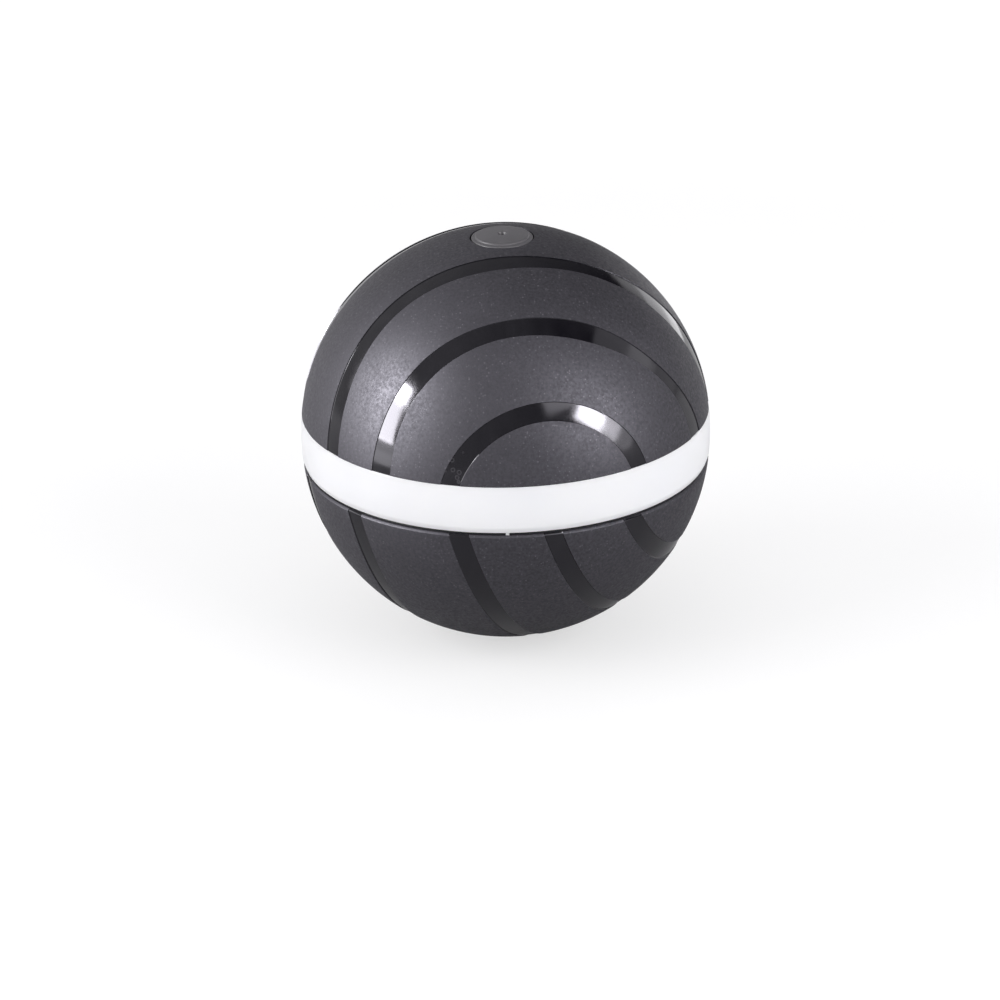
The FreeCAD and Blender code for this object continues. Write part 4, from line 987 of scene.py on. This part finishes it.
def ringTree():
    tree, given = newTree("turnedRing", {
        "Turn Steps": 288, "Tab Count": 4, "Tab Place": (0.0, 0.0, 0.0), "Tab Size": (0.0, 0.0, 0.0),
    })
    points = addNode(tree, "GeometryNodeAttributeDomainSize", {"Geometry": given["Geometry"]}).outputs["Point Count"]
    columns = plus(given["Turn Steps"], 1.0)
    grid = addNode(tree, "GeometryNodeMeshGrid", {
        "Vertices X": plus(points, 1.0), "Vertices Y": columns,
    }).outputs["Mesh"]
    index = addNode(tree, "GeometryNodeInputIndex").outputs[0]
    row = mathNode("FLOOR", mathNode("DIVIDE", plus(index, 0.5), columns))
    column = minus(index, times(row, columns))
    turn = mathNode("DIVIDE", times(column, 2 * math.pi), given["Turn Steps"])
    place = addNode(tree, "GeometryNodeSampleIndex", {
        "Geometry": given["Geometry"], "Value": addNode(tree, "GeometryNodeInputPosition").outputs[0],
        "Index": mathNode("MODULO", row, points),
    }, data_type="FLOAT_VECTOR").outputs[0]
    r, _, z = addNode(tree, "ShaderNodeSeparateXYZ", {0: place}).outputs
    turned = addNode(tree, "ShaderNodeCombineXYZ", {
        0: times(r, mathNode("COSINE", turn)),
        1: times(r, mathNode("SINE", turn)),
        2: z,
    }).outputs[0]
    ring = addNode(tree, "GeometryNodeSetPosition", {"Geometry": grid, "Position": turned}).outputs[0]
    ring = addNode(tree, "GeometryNodeMergeByDistance", {"Geometry": ring, "Distance": weld}).outputs[0]
    cube = addNode(tree, "GeometryNodeMeshCube", {"Size": given["Tab Size"]}).outputs["Mesh"]
    tab = addNode(tree, "GeometryNodeTransform", {"Geometry": cube, "Translation": given["Tab Place"]}).outputs[0]
    tabs = turnedCopies(tree, tab, given["Tab Count"], 0.0)
    join = addNode(tree, "GeometryNodeJoinGeometry")
    tree.links.new(ring, join.inputs[0])
    tree.links.new(tabs, join.inputs[0])
    finishTree(tree, given, join.outputs[0])
    return tree


def buildBand():
    profile, tabOuter = bandProfile()
    base = bpy.data.meshes.new("bandProfile")
    base.from_pydata([(r, 0, z) for r, z in profile], [(i, i + 1) for i in range(len(profile) - 1)], [])
    tabHigh, tabLow = ball["bandBottom"] + band["tabRoot"], ball["lowerRim"]
    piece = madeBy(ringTree(), "milkyBand", base, {
        "Turn Steps": ball["turnSteps"], "Tab Count": band["tabCount"],
        "Tab Place": (tabOuter - band["tabDepth"] / 2, 0.0, (tabHigh + tabLow) / 2),
        "Tab Size": (band["tabDepth"], band["tabWidth"], tabHigh - tabLow),
    }, finishes["band_plastic"], sharpAngle=25)
    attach(piece, "shell")
    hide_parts("light_ring")


buildBand()
print("band made")


# Power button and the plug over the charging socket

button = {
    "radius": 6.0 * mm,
    "edgeEase": 0.38 * mm,
    "underside": 38.95 * mm,
    "padRadius": 5.1 * mm,
    "padRise": 0.28 * mm,
    "padBevel": 0.2 * mm,
    "dimpleRadius": 0.85 * mm,
    "dimpleDepth": 0.9 * mm,
    "dimpleFloor": 0.6 * mm,
    "stemRadius": 2.2 * mm,
    "neckRadius": 1.6 * mm,
    "nibRadius": 2.0 * mm,
    "crownSteps": 12,
    "crownMargin": 0.12 * mm,  # between the crown's points and the eased corners
    "undersideEase": 0.12 * mm,
    "footEase": 0.07 * mm,
    "lipEase": 0.09 * mm,
    "dimpleEase": 0.15 * mm,
    "steps": 144,
}


def capHeight(r, rise=0.0):
    return capShift + math.sqrt((ball["radius"] + rise) ** 2 - r * r)


def buildButton():
    b = button
    clipLow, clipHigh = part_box("button_clip")[0].z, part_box("button_clip")[1].z
    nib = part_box("power_button")[0].z
    rise = b["padRise"]
    rim = (b["radius"], capHeight(b["radius"]))
    footRadius = b["padRadius"] + b["padBevel"]
    foot, lip = (footRadius, capHeight(footRadius)), (b["padRadius"], capHeight(b["padRadius"], rise))
    outer, inner = b["padRadius"] - b["crownMargin"], b["dimpleRadius"] + b["crownMargin"]
    crown = [outer - (outer - inner) * i / b["crownSteps"] for i in range(b["crownSteps"] + 1)]
    crown = [(r, capHeight(r, rise)) for r in crown]
    dimple = (b["dimpleRadius"], capHeight(b["dimpleRadius"], rise))
    bottom = (b["dimpleFloor"], dimple[1] - b["dimpleDepth"])
    profile = [(0, nib), (b["nibRadius"], nib), (b["nibRadius"], clipLow), (b["neckRadius"], clipLow),
               (b["neckRadius"], clipHigh), (b["stemRadius"], clipHigh), (b["stemRadius"], b["underside"])]
    profile += eased((b["stemRadius"], b["underside"]), (b["radius"], b["underside"]), rim, b["undersideEase"])
    profile += eased((b["radius"], b["underside"]), rim, foot, b["edgeEase"], 7)
    profile += eased(rim, foot, lip, b["footEase"], 3)
    profile += eased(foot, lip, crown[0], b["lipEase"])
    profile += crown[1:-1]
    profile += eased(crown[-1], dimple, bottom, b["lipEase"])
    profile += eased(dimple, bottom, (0, bottom[1]), b["dimpleEase"])
    profile.append((0, bottom[1]))
    piece = turnedPiece("softButton", profile, [finishes["soft_grey"]], b["steps"])
    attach(piece, "power_button")
    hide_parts("power_button")


plug = {
    "radius": 6.0 * mm,
    "edgeEase": 0.30 * mm,
    "underside": 37.95 * mm,
    "stemRadius": 4.82 * mm,
    "stemWall": 1.2 * mm,
    "stemEnd": 36.75 * mm,
    "roof": 38.55 * mm,
    "domeSteps": 14,
    "undersideEase": 0.12 * mm,
    "steps": 144,
}


def buildPlug():
    p = plug
    dome = [p["radius"] * (1 - i / p["domeSteps"]) for i in range(p["domeSteps"] + 1)]
    dome = [(r, capHeight(r)) for r in dome]
    bore = p["stemRadius"] - p["stemWall"]
    profile = [(0, p["roof"]), (bore, p["roof"]), (bore, p["stemEnd"]), (p["stemRadius"], p["stemEnd"])]
    profile.append((p["stemRadius"], p["underside"]))
    profile += eased(profile[-1], (p["radius"], p["underside"]), dome[0], p["undersideEase"])
    profile += eased((p["radius"], p["underside"]), dome[0], dome[1], p["edgeEase"], 7)
    profile += dome[2:]
    piece = turnedPiece("softPlug", [(r, -z) for r, z in profile], [finishes["soft_grey"]], p["steps"])
    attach(piece, "port_plug")
    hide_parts("port_plug")


buildButton()
buildPlug()
print("button and plug made")


# Floor, light and camera

studio = {
    "floorColour": (0.41, 0.41, 0.41),
    "floorFade": 0.97,
    "floorRoughness": 0.85,
    "floorSpecular": 0.1,
    "floorRadius": 3.0,
    "floorSteps": 64,
    "floorCloud": 3.0,
    "floorLift": 0.59,  # what is added where the floor is seen, so that it reads as white
    "floorWhite": (0.25, 0.90, 0.0, 0.41),  # and further out, where less light falls
    "floorFar": (0.12, 0.60, 0.37),  # gloss shows the lit floor from and to these distances, and how much of it
    "floorBehind": (0.0, 0.12, 0.275),  # and more of it behind the ball
    "ambient": (0.69, 0.685, 0.705),
    "roomSide": (-0.5, 0.5, 0.52, 0.0),  # gloss shows a room that is pale on the left and dark on the right
}

# Soft boxes as (azimuth, elevation, distance, width, height, watts, turn, what they show on), aimed at the ball
softBoxes = {
    "leftFill": (-160, 25, 0.85, 0.60, 0.60, 4.6, 0, "diffuse"),
    "rightFill": (-35, 25, 0.85, 0.60, 0.60, 4.1, 0, "diffuse"),
    "leftUpperPanel": (-163, 26.8, 0.85, 0.26, 0.12, 6.6, 0, "gloss"),
    "leftPanel": (-163, 13.3, 0.85, 0.26, 0.33, 5.9, 0, "gloss"),
    "leftLowPanel": (-158, -0.5, 0.233, 0.085, 0.05, 0.043, 0, "gloss"),
    "leftFarPanel": (175, 20, 0.85, 0.30, 0.30, 0.85, 0, "gloss"),
    "rightPanel": (-39.2, 19, 0.85, 0.25, 0.14, 3.9, -45, "gloss"),
    "rightFadePanel": (-29.5, 10, 0.85, 0.18, 0.15, 1.0, -45, "gloss"),
    "rightLowerPanel": (-22, 2, 0.85, 0.16, 0.16, 0.22, -45, "gloss"),
    "rightSoftPanel": (-50, 40, 0.85, 0.40, 0.40, 1.6, 0, "gloss"),
    "rightSidePanel": (9, 32, 0.85, 0.34, 0.46, 0.40, 0, "gloss"),
    "rightSideCore": (12, 22, 0.85, 0.20, 0.22, 0.12, 0, "gloss"),
    "rightGapPanel": (21.5, 8.5, 0.85, 0.27, 0.22, 0.13, 0, "gloss"),
    "lowBackPanel": (58.3, 4.7, 0.40, 0.114, 0.138, 0.079, 0, "gloss"),
    "highBackPanel": (58.3, 19.9, 0.40, 0.114, 0.07, 0.020, 0, "gloss"),
}
lampColour = (0.99, 0.985, 1.0)


def seenRays(tree, others=1.0):
    # 1 for what the camera sees, and what gloss and clear pieces show
    rays = addNode(tree, "ShaderNodeLightPath").outputs
    mirrored = mathNode("MAXIMUM", rays["Is Glossy Ray"], rays["Is Transmission Ray"])
    return mathNode("MAXIMUM", rays["Is Camera Ray"], times(mirrored, others))


def buildFloor():
    bm = bmesh.new()
    bmesh.ops.create_circle(bm, cap_ends=True, segments=studio["floorSteps"], radius=studio["floorRadius"])
    for vert in bm.verts:
        vert.co.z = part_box("port_plug")[0].z
    bm.normal_update()
    for face in bm.faces:
        if face.normal.z < 0:
            face.normal_flip()
    material, tree, shader = newMaterial("paleFloor")
    faded = tuple(c * studio["floorFade"] for c in studio["floorColour"])
    cloud = noise(objectPlace(tree), studio["floorCloud"])
    colour = mixColour(cloud, studio["floorColour"], faded)
    place = addNode(tree, "ShaderNodeTexCoord").outputs["Object"]
    away = addNode(tree, "ShaderNodeVectorMath", {0: place}, operation="LENGTH").outputs["Value"]
    behind = addNode(tree, "ShaderNodeSeparateXYZ", {0: place}).outputs[1]
    start, end, share = studio["floorFar"]
    near, far, more = studio["floorBehind"]
    lit = plus(ranged(away, start, end, 0.0, share), ranged(behind, near, far, 0.0, more))
    straight = addNode(tree, "ShaderNodeLightPath").outputs["Is Camera Ray"]
    whiter = times(straight, ranged(away, *studio["floorWhite"]))
    seen = times(seenRays(tree, lit), studio["floorLift"])
    feed(tree, shader, {
        "Base Color": colour,
        "Roughness": studio["floorRoughness"],
        "Specular IOR Level": studio["floorSpecular"],
        "Emission Color": (1.0, 1.0, 1.0, 1.0),
        "Emission Strength": plus(seen, whiter),
    })
    # clear from below, so that the underside and the charging plug can be seen
    under = addNode(tree, "ShaderNodeNewGeometry").outputs["Backfacing"]
    clear = addNode(tree, "ShaderNodeBsdfTransparent").outputs[0]
    oneSided = addNode(tree, "ShaderNodeMixShader", {0: under, 1: shader.outputs[0], 2: clear}).outputs[0]
    tree.links.new(oneSided, tree.nodes["Material Output"].inputs["Surface"])
    newObject("floor", meshFrom(bm, "floor"), [material])


def buildWorld():
    world = bpy.data.worlds.new("studio")
    world.use_nodes = True
    tree = world.node_tree
    background = tree.nodes["Background"]
    direction = addNode(tree, "ShaderNodeTexCoord").outputs["Generated"]
    side = addNode(tree, "ShaderNodeSeparateXYZ", {0: direction}).outputs[0]
    mirrored = addNode(tree, "ShaderNodeLightPath").outputs["Is Glossy Ray"]
    room = mixColour(mirrored, studio["ambient"], (0.0, 0.0, 0.0))
    surround = seenRays(tree, ranged(side, *studio["roomSide"]))
    tree.links.new(mixColour(surround, room, (1.0, 1.0, 1.0)), background.inputs["Color"])
    bpy.context.scene.world = world


def buildLights():
    for name, (azimuth, elevation, distance, width, height, watts, turn, shows) in softBoxes.items():
        light = bpy.data.lights.new(name, "AREA")
        light.shape = "RECTANGLE"
        light.size, light.size_y = width, height
        light.energy, light.color = watts, lampColour
        lamp = bpy.data.objects.new(name, light)
        place = polarPlace(azimuth, elevation, distance)
        facing = place.to_track_quat("Z", "Y").to_matrix().to_4x4()
        lamp.matrix_world = Matrix.Translation(place) @ facing @ Matrix.Rotation(math.radians(turn), 4, "Z")
        lamp.visible_camera = False
        lamp.visible_diffuse = shows == "diffuse"
        lamp.visible_glossy = shows == "gloss"
        bpy.context.scene.collection.objects.link(lamp)


# The camera stands where the photograph's did: distance, height above the ball's middle, and a slight roll
photo = {
    "distance": 900.9 * mm,
    "elevation": 22.62,
    "roll": 1.07,
    "focalPixels": 4597.6,
    "framePixels": 1000.0,
    "ballPixel": (505.64, 429.42),
    "sensor": 36.0,
    "clip": (0.01, 50.0),
}


def buildCamera():
    p = photo
    e, roll = math.radians(p["elevation"]), math.radians(p["roll"])
    place = Vector((0, -math.cos(e), math.sin(e))) * p["distance"]
    forward = -place.normalized()
    right = Vector((1, 0, 0))
    up = right.cross(forward)
    rolledRight = right * math.cos(roll) - up * math.sin(roll)
    rolledUp = right * math.sin(roll) + up * math.cos(roll)
    turn = Matrix((rolledRight, rolledUp, forward))
    half = p["framePixels"] / 2
    x, y = p["ballPixel"]
    aim = Vector(((x - half) / p["focalPixels"], (half - y) / p["focalPixels"], 1.0))
    swing = Vector((0, 0, 1)).rotation_difference(aim.normalized()).to_matrix()
    axes = swing @ turn  # rows are the camera's right, up and forward
    camera = bpy.data.cameras.new("photoCamera")
    camera.sensor_width = p["sensor"]
    camera.lens = p["focalPixels"] * p["sensor"] / p["framePixels"]
    camera.clip_start, camera.clip_end = p["clip"]
    holder = bpy.data.objects.new("photoCamera", camera)
    pose = Matrix((axes[0], axes[1], -axes[2])).transposed().to_4x4()
    holder.matrix_world = Matrix.Translation(place) @ pose
    bpy.context.scene.collection.objects.link(holder)
    bpy.context.scene.camera = holder


buildFloor()
buildWorld()
buildLights()
buildCamera()
bpy.context.scene.view_settings.view_transform = "Standard"
print("studio and camera made")
